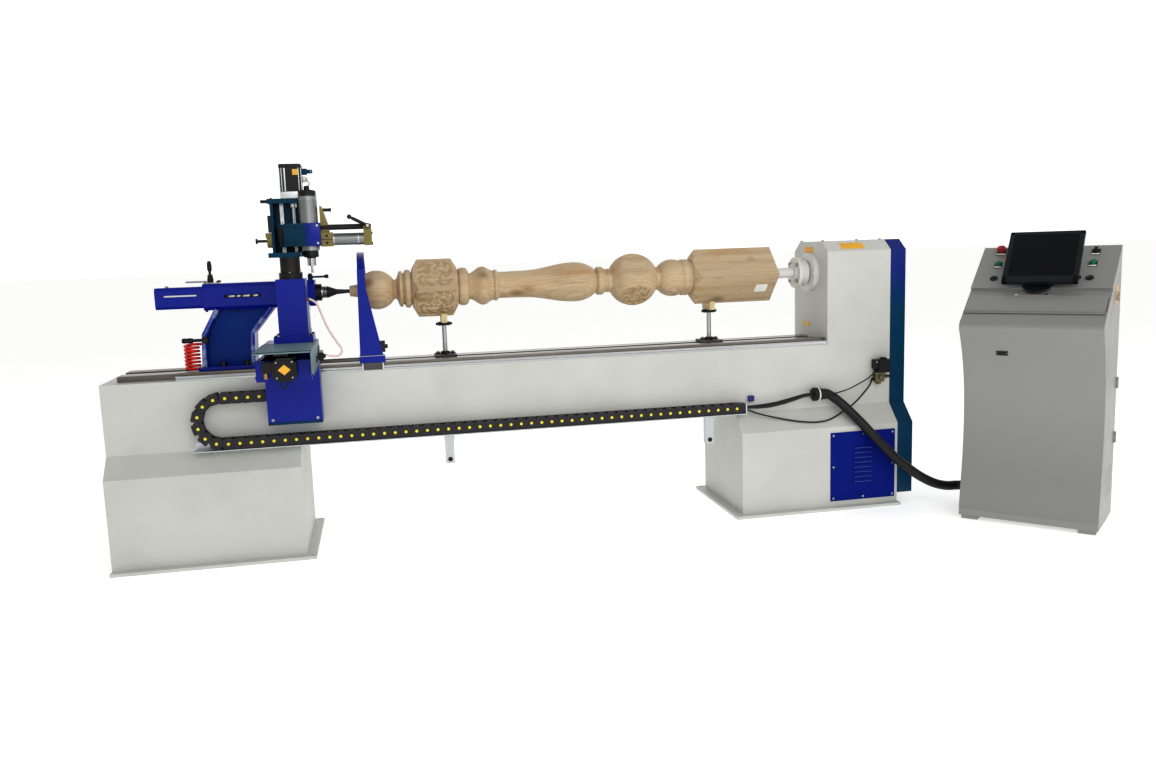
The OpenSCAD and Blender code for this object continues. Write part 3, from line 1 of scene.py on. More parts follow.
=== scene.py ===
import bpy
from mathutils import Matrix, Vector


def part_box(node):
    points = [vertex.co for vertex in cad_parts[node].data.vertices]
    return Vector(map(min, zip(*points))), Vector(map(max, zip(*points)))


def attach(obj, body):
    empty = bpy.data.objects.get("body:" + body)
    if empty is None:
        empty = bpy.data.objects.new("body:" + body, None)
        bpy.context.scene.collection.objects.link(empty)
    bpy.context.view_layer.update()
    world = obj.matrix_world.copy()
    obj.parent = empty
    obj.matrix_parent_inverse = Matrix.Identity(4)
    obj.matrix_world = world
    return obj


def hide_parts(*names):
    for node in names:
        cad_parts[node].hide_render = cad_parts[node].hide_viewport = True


bl_info = {
    "name": "Wood copy lathe",
    "version": (1, 0, 0),
    "blender": (4, 5, 0),
    "location": "View3D > Sidebar > Lathe",
    "description": "Dresses a packed wood copy lathe with materials, details, stage and camera",
    "category": "Object",
}

from itertools import product
from math import atan2, cos, hypot, pi, radians, sin, tau

import bmesh
import bpy
from bpy.props import FloatProperty, PointerProperty, StringProperty
from mathutils import Matrix, Vector

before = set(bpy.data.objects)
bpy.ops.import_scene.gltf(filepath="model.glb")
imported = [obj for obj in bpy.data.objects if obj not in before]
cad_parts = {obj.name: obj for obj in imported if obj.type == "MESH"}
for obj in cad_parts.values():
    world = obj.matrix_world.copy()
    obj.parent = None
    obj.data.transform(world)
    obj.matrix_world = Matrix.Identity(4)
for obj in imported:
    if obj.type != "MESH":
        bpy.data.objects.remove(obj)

# Where the photograph was taken from, and how its camera was turned, in metres and radians
CAMERA_SPOT = (-0.6273, -4.5731, 1.3236)
CAMERA_PAN = -0.1959
CAMERA_TILT = -0.1426
CAMERA_ROLL = 0.0339
CAMERA_LENS = 30.3
SENSOR_WIDTH = 36.0

# The pale floor gives back a little light of its own, as a lit studio floor does
FLOOR_GLOW = 0.4


def metres(*points):
    """Points given in whole millimetres, in metres."""
    return [tuple(c / 1000 for c in point) for point in points]


def places(xs, ys, zs):
    """Every place that a few stations along each axis give."""
    return [*product(*(v if isinstance(v, tuple) else (v,) for v in (xs, ys, zs)))]


def circle(radius, count, first):
    """Places round a circle, from a first angle in degrees."""
    angles = [radians(first + 360 / count * k) for k in range(count)]
    return [(radius * cos(a), radius * sin(a)) for a in angles]


# Routes of the free cords, the same points as in the part's source
HOSE_ROUTE = metres((1428, -226, 565), (1466, -226, 565), (1506, -232, 540), (1542, -250, 506),
                    (1576, -276, 466), (1610, -302, 424), (1648, -324, 376), (1690, -338, 328),
                    (1732, -346, 282), (1778, -356, 236), (1830, -370, 192), (1888, -384, 150),
                    (1950, -392, 118), (2015, -390, 100), (2066, -392, 98), (2088, -409, 100),
                    (2119.5, -443.5, 100))
LEAD_STATIONS = (1046, 1072, 1104, 1138, 1172, 1206, 1240, 1274, 1308, 1340, 1368, 1396)
LEAD_HEIGHTS = ((524, 524, 525, 527, 530, 534, 540, 547, 554, 561, 565, 565),
                (524, 524, 522, 522, 524, 529, 535, 543, 552, 561, 565, 565))
LEAD_BACK, LEAD_FRONT = (metres(*((x, y, z) for x, z in zip(LEAD_STATIONS, heights)))
                         for y, heights in zip((-214, -238), LEAD_HEIGHTS))
VALVE_LEAD = metres((1046, -226, 508), (1068, -226, 508), (1100, -232, 494), (1140, -236, 482),
                    (1190, -236, 468), (1240, -240, 456), (1300, -250, 444), (1360, -256, 436),
                    (1410, -258, 434), (1460, -254, 439), (1510, -240, 453), (1560, -228, 476),
                    (1610, -228, 508), (1660, -226, 554), (1700, -216, 594), (1714, -206, 618),
                    (1726, -206, 618))
THIN_LEAD = metres((1428, -253, 565), (1442, -253, 565), (1480, -257, 567), (1530, -252, 574),
                   (1580, -244, 586), (1630, -234, 604), (1680, -224, 624), (1710, -214, 640),
                   (1726, -214, 640))
AIR_ROUTE = metres((-934, -290, 1130), (-922, -290, 1130), (-896, -287, 1108), (-879, -280, 1058),
                   (-857, -270, 998), (-829, -262, 945), (-808, -256, 908), (-818, -254, 882),
                   (-848, -256, 880), (-876, -258, 887), (-892, -258, 892), (-904, -258, 892))
COIL_AXIS = (-1.464, -0.02)
COIL_RADIUS = 0.029
COIL_PITCH = 0.016
COIL_TURNS = 6.5
COIL_LOW = 0.835
COIL_START_X = -1.425
COIL_END_X = -1.41383

# Main stations of the machine, in metres, as in the part's source
WAY_TOP = 0.825
HEAD_LEFT = 1.486
RAIL_Y = -0.1765
TRAY_LEGS = (-0.383, 0.85)
CHAMFER_TURN = atan2(0.049, 0.065)
SUPPORT_X = {"left": -0.348, "right": 0.948}
SPINDLE_X, SPINDLE_Y = -0.912, -0.19
# The steady ring: its station, and the reach of the bore, of its shoes and of the rim
STEADY_X = -0.709
STEADY_REACH = (0.1385, 0.1415, 0.1735)

# Turned post: its axis and left end, and the middles and face distances of its carved fields, in metres
AXIS_Z = 1.147
WORK_LEFT = -0.766
BLOCK_FACE = 0.09405
BLOCK_ONE_MIDDLE = 0.3845
BALL_FACE = 0.1
BALL_MIDDLE = 1.33

# The console stands turned: its front left corner, its turn and the slope of its panel
CONSOLE_SPOT = (1.95, -0.599)
CONSOLE_TURN = radians(-47.5)
PANEL_SLOPE = radians(36)
PANEL_START = (-0.051634, 0.924271)
PANEL_STEP = 0.012
CONSOLE_WIDTH = 0.58
# Buttons and selector on the upper panel: distance along the front, depth
SWITCHES = {"estop": (0.082, 0.336), "start": (0.087, 0.255), "selector": (0.481, 0.326),
            "run": (0.481, 0.257)}
CAP_BASE = 0.0029
# Rolled front of the console, as depth and height
NOSE = (-0.034, 0.9)
NOSE_RADIUS = 0.03
FRONT_CURVE = metres((-40, 850), (-12, 795), (14, 730), (34, 660), (46, 590), (52, 510), (52, 420),
                     (46, 330), (36, 250), (20, 160), (6, 80), (0, 50))

# Directions
UP, DOWN = (0, 0, 1), (0, 0, -1)
LEFT, RIGHT = (-1, 0, 0), (1, 0, 0)
FRONT, BACK = (0, -1, 0), (0, 1, 0)
ORIGIN = (0, 0, 0)

# Finishes that many details share
PLASTIC = "moulded black plastic"
DARK = "blackened steel"
BRIGHT = "turned bright steel"
ZINC = "zinc-plated screw"
BRASS = "brass fitting"
ALUMINIUM = "extruded aluminium"
LABEL = "white label plastic"
AMBER = "amber tag"
BLACK = "black enamel"
NYLON = "moulded nylon link"
RUBBER = "black rubber jacket"
CONSOLE = "powder-coated console steel"
PANEL_BLUE = "panel blue enamel"
WEB_BLUE = "deep blue web enamel"
VALVE = "dull valve metal"
CAST_IRON = "machined cast iron"
WAY_STRIP = "polished way strip"
HOUSING = "monitor housing"
WOOD = "turned pale hardwood"
SHADED_HOLLOW = "painted shade hollow wood"


def linear(code):
    """Turns an sRGB hex colour into linear values."""
    parts = [int(code[i:i + 2], 16) / 255 for i in (1, 3, 5)]
    return [c / 12.92 if c <= 0.04045 else ((c + 0.055) / 1.055) ** 2.4 for c in parts] + [1.0]


def stained(code, other, share):
    """A colour with a share of another one in it."""
    return [c * (1 - share) + d * share for c, d in zip(linear(code)[:3], linear(other)[:3])] + [1.0]


def set_values(node, values):
    """Sets input values of a node."""
    for key, value in values.items():
        node.inputs[key].default_value = value


def feed(tree, node, sources):
    """Links outputs to the inputs of a node."""
    for key, source in sources.items():
        tree.links.new(source, node.inputs[key])


def add_node(tree, kind, values=None, links=None, **settings):
    """Adds one shader node with its settings, input values and links."""
    node = tree.nodes.new(kind)
    for name, value in settings.items():
        setattr(node, name, value)
    set_values(node, values or {})
    feed(tree, node, links or {})
    return node


def new_material(name):
    """An empty node material, its tree, its shader and its object coordinates."""
    material = bpy.data.materials.new(name)
    material.use_nodes = True
    tree = material.node_tree
    tree.nodes.clear()
    shader = add_node(tree, "ShaderNodeBsdfPrincipled")
    add_node(tree, "ShaderNodeOutputMaterial", links={"Surface": shader.outputs["BSDF"]})
    place = add_node(tree, "ShaderNodeTexCoord").outputs["Object"]
    return material, tree, shader, place


def noise(tree, place, scale=1.0, detail=3.0, rough=0.5):
    """Cloudy noise over the given coordinates."""
    values = {"Scale": scale, "Detail": detail, "Roughness": rough}
    return add_node(tree, "ShaderNodeTexNoise", values, {"Vector": place}).outputs["Fac"]


def spread(tree, value, start, end, low=0.0, high=1.0):
    """Maps a value from one span to another."""
    values = {"From Min": start, "From Max": end, "To Min": low, "To Max": high}
    return add_node(tree, "ShaderNodeMapRange", values, {"Value": value}).outputs["Result"]


def reckon(tree, operation, first, second=0.5):
    """Works out one value from another and a number, or from two values."""
    plain = isinstance(second, float)
    node = add_node(tree, "ShaderNodeMath", {1: second} if plain else {},
                    {0: first} if plain else {0: first, 1: second}, operation=operation)
    return node.outputs["Value"]


def stretched(tree, place, axis, across, lengthwise, shift=(0.0, 0.0, 0.0)):
    """Coordinates scaled apart across and along one axis."""
    scale = [across] * 3
    scale["XYZ".index(axis)] = lengthwise
    node = add_node(tree, "ShaderNodeMapping", {"Scale": scale, "Location": shift}, {"Vector": place})
    return node.outputs["Vector"]


def colour_mix(tree, factor, low, high, start=0.0, end=1.0):
    """A colour between two colours, which it reaches at two values of the factor."""
    ramp = add_node(tree, "ShaderNodeValToRGB", links={"Fac": factor})
    for stop, colour, position in zip(ramp.color_ramp.elements, (low, high), (start, end)):
        stop.color = colour
        stop.position = position
    return ramp.outputs["Color"]


def mix_colour(tree, factor, first, second):
    """Blends a colour with a fixed second colour."""
    mix = add_node(tree, "ShaderNodeMix", {7: second}, {0: factor, 6: first}, data_type="RGBA")
    return mix.outputs[2]


def set_bump(tree, shader, height, strength, depth, base=None):
    """Relief of the given depth in metres on the shader."""
    bump = add_node(tree, "ShaderNodeBump", {"Strength": strength, "Distance": depth}, {"Height": height})
    if base:
        feed(tree, bump, {"Normal": base})
    feed(tree, shader, {"Normal": bump.outputs["Normal"]})


def soft_edge(tree, radius_mm):
    """A surface direction that bends round the edges, as a coat or a broken edge does."""
    return add_node(tree, "ShaderNodeBevel", {"Radius": radius_mm / 1000}, samples=4).outputs["Normal"]


def worn_paint(name, code, roughness, grit_mm, relief_mm, dirt=0.12, coat=0.0, dirt_code="#6E695C",
               gleam=0.4, wear_and_highlight_code=None, flake=0.0, chip_and_glare_spots=0.0):
    """Paint over metal: fine relief of the coat, faint uneven tone, a little grime, and pale edges that are
    partly wear and partly a painted highlight.
    """
    material, tree, shader, place = new_material(name)
    cloud = noise(tree, place, 3.1, 5.0, 0.6)
    tone = colour_mix(tree, cloud, stained(code, dirt_code, dirt), linear(code), 0.34, 0.62)
    edge = soft_edge(tree, 2.0)
    # Edges turn pale, partly as wear and partly as a painted highlight; a floor of the mask lays pale spots
    # over the faces as well
    if wear_and_highlight_code:
        flat = add_node(tree, "ShaderNodeNewGeometry").outputs["Normal"]
        turn = add_node(tree, "ShaderNodeVectorMath", {}, {0: edge, 1: flat}, operation="DOT_PRODUCT")
        edge_wear_and_highlight = spread(tree, turn.outputs["Value"], 0.97, 0.8, chip_and_glare_spots)
        patchy = spread(tree, noise(tree, place, 22.0 if chip_and_glare_spots else 60.0, 4.0), 0.5, 0.66, 0.0, 0.7)
        tone = mix_colour(tree, reckon(tree, "MULTIPLY", edge_wear_and_highlight, patchy), tone, linear(wear_and_highlight_code))
    gloss = spread(tree, cloud, 0.3, 0.7, roughness + 0.08, roughness - 0.04)
    feed(tree, shader, {"Base Color": tone, "Roughness": gloss})
    set_bump(tree, shader, noise(tree, place, 1000 / grit_mm, 2.0), 0.35, relief_mm / 1000, edge)
    set_values(shader, {"Coat Weight": coat, "Coat Roughness": 0.12, "Specular IOR Level": gleam,
                        "Metallic": flake})
    return material


def faded_paint(name, high_code, low_code, high_z, low_z):
    """Two enamels that were sprayed into each other between two heights in metres."""
    material = worn_paint(name, high_code, *ENAMEL)
    tree = material.node_tree
    shader = tree.nodes["Principled BSDF"]
    place = add_node(tree, "ShaderNodeTexCoord").outputs["Object"]
    height = add_node(tree, "ShaderNodeSeparateXYZ", links={"Vector": place}).outputs["Z"]
    high_tone = shader.inputs["Base Color"].links[0].from_socket
    tone = mix_colour(tree, spread(tree, height, high_z, low_z), high_tone, linear(low_code))
    feed(tree, shader, {"Base Color": tone})
    return material


def ground_metal(name, code, roughness, lay_mm, direction, tint="#3A342C", stain=0.3):
    """Bright metal with tool marks that run one way."""
    material, tree, shader, place = new_material(name)
    cloud = noise(tree, stretched(tree, place, direction, 14.0, 1.2), 1.0, 4.0, 0.6)
    tone = colour_mix(tree, cloud, stained(code, tint, stain), linear(code), 0.3, 0.65)
    gloss = spread(tree, cloud, 0.3, 0.7, roughness + 0.12, roughness - 0.06)
    feed(tree, shader, {"Base Color": tone, "Roughness": gloss})
    set_values(shader, {"Metallic": 1.0})
    marks = noise(tree, stretched(tree, place, direction, 1000 / lay_mm, 3.0))
    set_bump(tree, shader, marks, 0.25, 0.0002, soft_edge(tree, 0.8))
    return material


def moulded_plastic(name, code, roughness, grit_mm=0.8, relief_mm=0.05, gleam=0.35):
    """Moulded plastic or rubber with a fine even grain and slightly uneven tone."""
    material, tree, shader, place = new_material(name)
    base = linear(code)
    pale = [min(1, c * 1.25 + 0.004) for c in base[:3]] + [1.0]
    feed(tree, shader, {"Base Color": colour_mix(tree, noise(tree, place, 14.0, 4.0), base, pale)})
    set_bump(tree, shader, noise(tree, place, 1000 / grit_mm, 1.0), 0.3, relief_mm / 1000)
    set_values(shader, {"Roughness": roughness, "Specular IOR Level": gleam})
    return material


def turned_wood(name, light, dark, ring_mm, along, knots=0.0):
    """Planed or turned wood: faint growth rings about a pith off the piece, fine pores, knots and cracks."""
    material, tree, shader, place = new_material(name)

    def grain(across, lengthwise, shift=(0.4, 0.13, -0.29)):
        """Coordinates drawn out along the grain."""
        return stretched(tree, place, along, across, lengthwise, shift)

    def toned(tone, factor):
        """Darkens a colour by a factor that varies over the surface."""
        mix = add_node(tree, "ShaderNodeMix", {0: 1.0}, {6: tone, 7: factor}, data_type="RGBA",
                       blend_type="MULTIPLY")
        return mix.outputs[2]

    pith = add_node(tree, "ShaderNodeMapping", {"Location": (0.0, 0.21, -0.93),
                                                "Rotation": (0.0, 0.03, 0.02)}, {"Vector": place})
    rings = add_node(tree, "ShaderNodeTexWave", {"Scale": 1000 / ring_mm / 20 * pi, "Distortion": 2.5,
                                                  "Detail": 3.0, "Detail Scale": 1.2},
                     {"Vector": pith.outputs["Vector"]}, wave_type="RINGS", rings_direction=along,
                     wave_profile="SAW")
    weak_rings = reckon(tree, "MULTIPLY", rings.outputs["Fac"], 0.22)
    figure = reckon(tree, "ADD", weak_rings, noise(tree, grain(30.0, 1.8), 1.0, 4.0, 0.55))
    tone = colour_mix(tree, figure, linear(dark), linear(light), 0.3, 0.72)
    pores = noise(tree, grain(900.0, 30.0))
    tone = toned(tone, spread(tree, pores, 0.35, 0.6, 0.82))
    if knots:
        # Dark knots with a warm rim, an amber stain and thin cracks along the grain
        cells = add_node(tree, "ShaderNodeTexVoronoi", {"Scale": 1.0}, {"Vector": grain(7.5, 4.5)})
        knot = spread(tree, cells.outputs["Distance"], 0.1 * knots, 0.24 * knots, 0.6, 0.0)
        tone = mix_colour(tree, knot, tone, linear("#5B3A1C"))
        cloud = noise(tree, grain(9.0, 2.2, (2.3, 1.1, 0.7)))
        tone = mix_colour(tree, spread(tree, cloud, 0.55, 0.75, 0.0, 0.55), tone, linear("#A9762F"))
        line = noise(tree, grain(60.0, 0.5, (0.2, 0.9, 0.4)), 1.0, 0.0)
        depth = reckon(tree, "ABSOLUTE", reckon(tree, "SUBTRACT", line, 0.5))
        tone = toned(tone, spread(tree, depth, 0.0, 0.006, 0.6))
    feed(tree, shader, {"Base Color": tone})
    set_values(shader, {"Roughness": 0.62, "Specular IOR Level": 0.3})
    set_bump(tree, shader, pores, 0.3, 0.0003, soft_edge(tree, 1.5))
    return material


def new_object(name, data):
    """An object in the scene with the given data."""
    made = bpy.data.objects.new(name, data)
    bpy.context.scene.collection.objects.link(made)
    return made


class Form:
    """Gathers the solids of one piece in one mesh, each with its own finish."""

    def __init__(self, name):
        self.name = name
        self.mesh = bmesh.new()
        self.finishes = []

    def _close(self, verts, finish_name, at):
        """Moves new vertices to their place and gives their faces a finish."""
        bmesh.ops.transform(self.mesh, matrix=at or Matrix.Identity(4), verts=verts)
        if finish_name not in self.finishes:
            self.finishes.append(finish_name)
        index = self.finishes.index(finish_name)
        for face in {f for v in verts for f in v.link_faces}:
            face.material_index = index

    def box(self, low, high, finish_name, edge=0.0015, at=None):
        """A block between two corners with its edges eased."""
        low, high = Vector(low), Vector(high)
        made = bmesh.ops.create_cube(self.mesh, size=1.0)["verts"]
        for vert in made:
            vert.co = Vector((low[i] + (vert.co[i] + 0.5) * (high[i] - low[i]) for i in range(3)))
        edge = min(edge, min(high - low) * 0.4)
        if edge > 0:
            edges = list({e for v in made for e in v.link_edges})
            made = list({v for f in bmesh.ops.bevel(self.mesh, geom=edges, offset=edge, segments=2,
                                                    profile=0.7, affect="EDGES")["faces"] for v in f.verts})
            made = self._spread(made)
        self._close(made, finish_name, at)

    def _spread(self, verts):
        """All vertices joined to the given ones."""
        found, todo = set(verts), list(verts)
        while todo:
            for e in todo.pop().link_edges:
                for v in e.verts:
                    if v not in found:
                        found.add(v)
                        todo.append(v)
        return list(found)

    def rod(self, start, end, radius, finish_name, sides, edge=0.0008, at=None):
        """A round bar between two points with eased rims."""
        start, end = Vector(start), Vector(end)
        length = (end - start).length
        edge = min(edge, length * 0.3, radius * 0.4)
        profile = [(radius - edge, 0), (radius, edge), (radius, length - edge), (radius - edge, length)]
        self.turned(profile, start, end - start, finish_name, sides, at)

    def turned(self, profile, origin, axis, finish_name, sides, at=None):
        """A closed turned shape from (radius, distance) pairs along an axis."""
        turn = Vector(axis).to_track_quat("Z", "Y").to_matrix().to_4x4()
        rings = []
        for radius, along in profile:
            if radius <= 1e-6:
                rings.append([self.mesh.verts.new((0, 0, along))])
            else:
                rings.append([self.mesh.verts.new((radius * cos(tau * k / sides),
                                                   radius * sin(tau * k / sides), along))
                              for k in range(sides)])
        for low, high in zip(rings, rings[1:]):
            for k in range(sides):
                n = (k + 1) % sides
                corners = [low[k % len(low)], low[n % len(low)], high[n % len(high)], high[k % len(high)]]
                corners = list(dict.fromkeys(corners))
                if len(corners) > 2:
                    self.mesh.faces.new(corners)
        if len(rings[0]) > 1:
            self.mesh.faces.new(list(reversed(rings[0])))
        if len(rings[-1]) > 1:
            self.mesh.faces.new(rings[-1])
        verts = [v for ring in rings for v in ring]
        bmesh.ops.transform(self.mesh, matrix=Matrix.Translation(Vector(origin)) @ turn, verts=verts)
        self._close(verts, finish_name, at)

    def ball(self, centre, radius, finish_name, sides):
        """A ball, as at the bend of a bead."""
        half = sides // 2
        profile = [(radius * sin(pi * k / half), -radius * cos(pi * k / half)) for k in range(half + 1)]
        self.turned(profile, centre, UP, finish_name, sides)

    def plate(self, outline, low, high, finish_name, plane="XZ", at=None):
        """A flat plate of a given outline, between two heights across its plane."""
        order = {"XZ": (0, 2, 1), "YZ": (1, 2, 0), "XY": (0, 1, 2)}[plane]
        rings = []
        for height in (low, high):
            ring = []
            for a, b in outline:
                spot = [0.0, 0.0, 0.0]
                spot[order[0]], spot[order[1]], spot[order[2]] = a, b, height
                ring.append(self.mesh.verts.new(spot))
            rings.append(ring)
        count = len(outline)
        for k in range(count):
            n = (k + 1) % count
            self.mesh.faces.new((rings[0][k], rings[0][n], rings[1][n], rings[1][k]))
        self.mesh.faces.new(list(reversed(rings[0])))
        self.mesh.faces.new(rings[1])
        self._close(rings[0] + rings[1], finish_name, at)

    def hex_screw(self, centre, axis, across, height, finish_name):
        """A hexagon screw head on a washer."""
        axis = Vector(axis).normalized()
        base = Vector(centre)
        self.rod(base, base + axis * height * 0.3, across * 0.62, finish_name, 24)
        self.rod(base + axis * height * 0.3, base + axis * height, across * 0.5, finish_name, 6)

    def cap_screw(self, centre, axis, radius, height, finish_name, at=None):
        """A socket head screw with its key hole."""
        axis = Vector(axis).normalized()
        self.turned([(radius, 0), (radius, height * 0.85), (radius * 0.88, height), (radius * 0.5, height),
                     (radius * 0.5, height * 0.45), (0, height * 0.45)], centre, axis, finish_name, 20, at)

    def cap_screws(self, centres, *look):
        """Several socket head screws alike."""
        for centre in centres:
            self.cap_screw(centre, *look)

    def as_mesh(self):
        """The gathered solids as mesh data."""
        bmesh.ops.recalc_face_normals(self.mesh, faces=self.mesh.faces)
        data = bpy.data.meshes.new(self.name)
        self.mesh.to_mesh(data)
        self.mesh.free()
        return data

    def done(self, body, replaced=(), smooth=38):
        """Makes the object, lets it ride on its body and hides the CAD parts it replaces."""
        data = self.as_mesh()
        for finish_name in self.finishes:
            data.materials.append(finish(finish_name))
        data.shade_smooth()
        data.set_sharp_from_angle(angle=radians(smooth))
        piece = new_object(self.name, data)
        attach(piece, body)
        if replaced:
            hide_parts(*replaced)
        return piece


# Gloss enamel sprayed on castings: deep, wet-looking, over an uneven skin; its pale edges are partly wear
# and partly a painted highlight
ENAMEL = (0.32, 4.0, 0.12, 0.1, 0.12, "#060A30", 0.2, "#5A68B4")

# Each finish: its maker, its colour or the name of the user's colour, and the maker's other values
FINISHES = {
    # Powder-coated sheet steel: satin, with a fine orange peel and a little workshop grime
    "powder-coated pale grey steel": (worn_paint, "body", 0.42, 1.6, 0.06),
    "royal blue enamel": (worn_paint, "blue", *ENAMEL),
    # Teal enamel: its pale edges are partly wear and partly a painted highlight
    "teal enamel": (worn_paint, "teal", 0.38, 4.0, 0.12, 0.12, 0.05, "#02202E", 0.1, "#4D7383"),
    # The same blue laid on thick over the cast ribs: wet highlights from the coat, and pale spots and edges
    # that are partly chipped paint and partly a painted highlight
    "thick rib enamel with painted glare": (worn_paint, "#10289A", 0.16, 7.0, 0.5, 0.1, 1.0, "#0A3C5C", 0.5, "#A9C0D8",
                         0.0, 0.75),
    WEB_BLUE: (worn_paint, "#06307C", 0.34, 4.0, 0.12, 0.1, 0.05, "#061A3C", 0.1),
    # Thin even coat on the flat screwed panel; the pale strips on the lips of its louvres are a painted
    # highlight
    PANEL_BLUE: (worn_paint, "#021C7A", 0.46, 3.0, 0.08, 0.08, 0.0, "#00103C", 0.1),
    "painted highlight louvre lip": (worn_paint, "#6472B8", 0.34, 4.0, 0.05, 0.1, 0.1, "#2A3474", 0.3),
    # One side was sprayed over the other, so the colour slides from blue into teal towards the floor
    "blue to teal enamel": (faded_paint, "#0A2476", "#003A58", 1.15, 0.95),
    # Silver-grey coat on the console: a little metal flake gives a soft sheen along its bends
    CONSOLE: (worn_paint, "console", 0.36, 1.2, 0.05, 0.04, 0.0, "#6E695C", 0.4, None, 0.25),
    # Hammer-finish paint: shallow dimples a few millimetres across
    "hammered olive paint": (worn_paint, "olive", 0.34, 5.0, 0.3, 0.15, 0.3, "#3C3412"),
    # Thin sprayed coats on sheet and machined parts
    "grey painted sheet": (worn_paint, "#70878A", 0.42, 1.6, 0.05, 0.12, 0.0, "#3A3F40", 0.3),
    "white enamel": (worn_paint, "#D9D9D4", 0.35, 2.0, 0.05, 0.1),
    BLACK: (worn_paint, "#121214", 0.4, 2.0, 0.05, 0.1, 0.0, "#3A3835", 0.3),
    # Ground and oiled slideways: brown-grey with grinding lines along the bed
    "oiled ground ways": (ground_metal, "ways", 0.34, 1.5, "X", "#38332E", 0.45),
    WAY_STRIP: (ground_metal, "#B4B0A8", 0.2, 1.2, "X", "#6B655B", 0.3),
    # Ground and turned bars: bright, with fine lines round or along them and a few stains
    BRIGHT: (ground_metal, "#B9BABB", 0.26, 0.8, "X", "#77767A", 0.2),
    "brushed spindle steel": (ground_metal, "#8F9090", 0.36, 0.5, "X", "#55565A", 0.3),
    ZINC: (ground_metal, "#B4B3A8", 0.34, 0.8, "Z", "#7E7B70", 0.3),
    # Oxide-blackened screws and machined grey iron: dull and dark
    DARK: (ground_metal, "#3A3938", 0.46, 1.0, "X", "#1E1D1D", 0.4),
    CAST_IRON: (ground_metal, "#5A5958", 0.48, 1.5, "X", "#302E2D", 0.4),
    # Extruded and turned light metals, with lines along them
    ALUMINIUM: (ground_metal, "#C6C8CA", 0.34, 0.9, "Z", "#93959A", 0.2),
    BRASS: (ground_metal, "#B8923F", 0.3, 0.9, "Z", "#6E5620", 0.3),
    VALVE: (ground_metal, "#7D735E", 0.44, 1.2, "Z", "#4A4336", 0.4),
    # Injection-moulded nylon links: dark brown-black with a dull bloom
    NYLON: (moulded_plastic, "#252226", 0.5),
    "yellow chain dot": (moulded_plastic, "#DDD038", 0.5),
    # Moulded housings, grips and caps: fine even grain, satin
    PLASTIC: (moulded_plastic, "#0F1012", 0.48, 0.8, 0.05, 0.3),
    HOUSING: (moulded_plastic, "#15181D", 0.38, 0.6, 0.03, 0.3),
    "dark screen glass": (moulded_plastic, "#050609", 0.12, 3.0, 0.005, 0.25),
    "red button plastic": (moulded_plastic, "#8E1A22", 0.28),
    "green button plastic": (moulded_plastic, "#0B6B48", 0.28),
    "clear red hose": (moulded_plastic, "coil", 0.22, 2.0, 0.02),
    "pale air hose": (moulded_plastic, "#D9BFB8", 0.35, 2.0, 0.02),
    "blue connector plastic": (moulded_plastic, "#16246E", 0.42),
    LABEL: (moulded_plastic, "#E4E3DC", 0.45),
    AMBER: (moulded_plastic, "#D9A432", 0.45),
    "brown paper tag": (moulded_plastic, "#7B5636", 0.7),
    # Extruded rubber and PVC jackets: black, slightly shiny, with a grey bloom
    RUBBER: (moulded_plastic, "#101012", 0.44, 1.6, 0.08),
    # Pale hardwood, turned and sanded: fine pores along the post, weak rings, knots, a stain and cracks
    WOOD: (turned_wood, "wood_light", "wood_dark", 7.0, "X", 1.0),
    # Painted shade in the hollows of the carving: the same wood, darker
    SHADED_HOLLOW: (turned_wood, "#BAA17B", "#9C8261", 7.0, "X"),
    "hardwood pad": (turned_wood, "#DCCB9E", "#C4AE7C", 5.0, "Y"),
}


def finish(name):
    """The material of a finish, made once."""
    made = bpy.data.materials.get(name)
    if made:
        return made
    maker, *values = FINISHES[name]
    colours = bpy.context.scene.lathe_finishes
    return maker(name, *(getattr(colours, v) if v in LatheFinishes.__annotations__ else v for v in values))


class LatheFinishes(bpy.types.PropertyGroup):
    """Colours that a user may change."""
    body: StringProperty(name="Body paint", description="Paint of bed and pedestals", default="#C8C9C3")
    blue: StringProperty(name="Blue enamel", description="Paint of the castings", default="#071F8C")
    teal: StringProperty(name="Teal enamel", description="Paint of the milling head", default="#04374F")
    console: StringProperty(name="Console paint", description="Paint of the console", default="#92928F")
    olive: StringProperty(name="Olive paint", description="Paint of the side spindle", default="#7A6D2B")
    ways: StringProperty(name="Slideways", description="Tone of the oiled ways", default="#837E77")
    coil: StringProperty(name="Air coil", description="Colour of the coiled hose", default="#D8281E")
    wood_light: StringProperty(name="Light wood", description="Early wood", default="#CCB694")
    wood_dark: StringProperty(name="Dark wood", description="Late wood", default="#B0977A")


class LatheStage(bpy.types.PropertyGroup):
    """Floor, lights and sizes of the studio."""
    floor_size: FloatProperty(name="Floor", description="Side of the floor", default=160.0, unit="LENGTH")
    floor_tone: StringProperty(name="Floor tone", description="Colour of the floor", default="#F2F2F0")
    key_power: FloatProperty(name="Key light", description="Power of the main lamp", default=155.0)
    fill_power: FloatProperty(name="Fill light", description="Power of the side lamps", default=60.0)
    sky: FloatProperty(name="Sky", description="Strength of the light from above", default=0.4)
    horizon: FloatProperty(name="Horizon", description="Strength of the light behind", default=1.0)
    near: FloatProperty(name="Near side", description="Strength of the light in front", default=0.42)


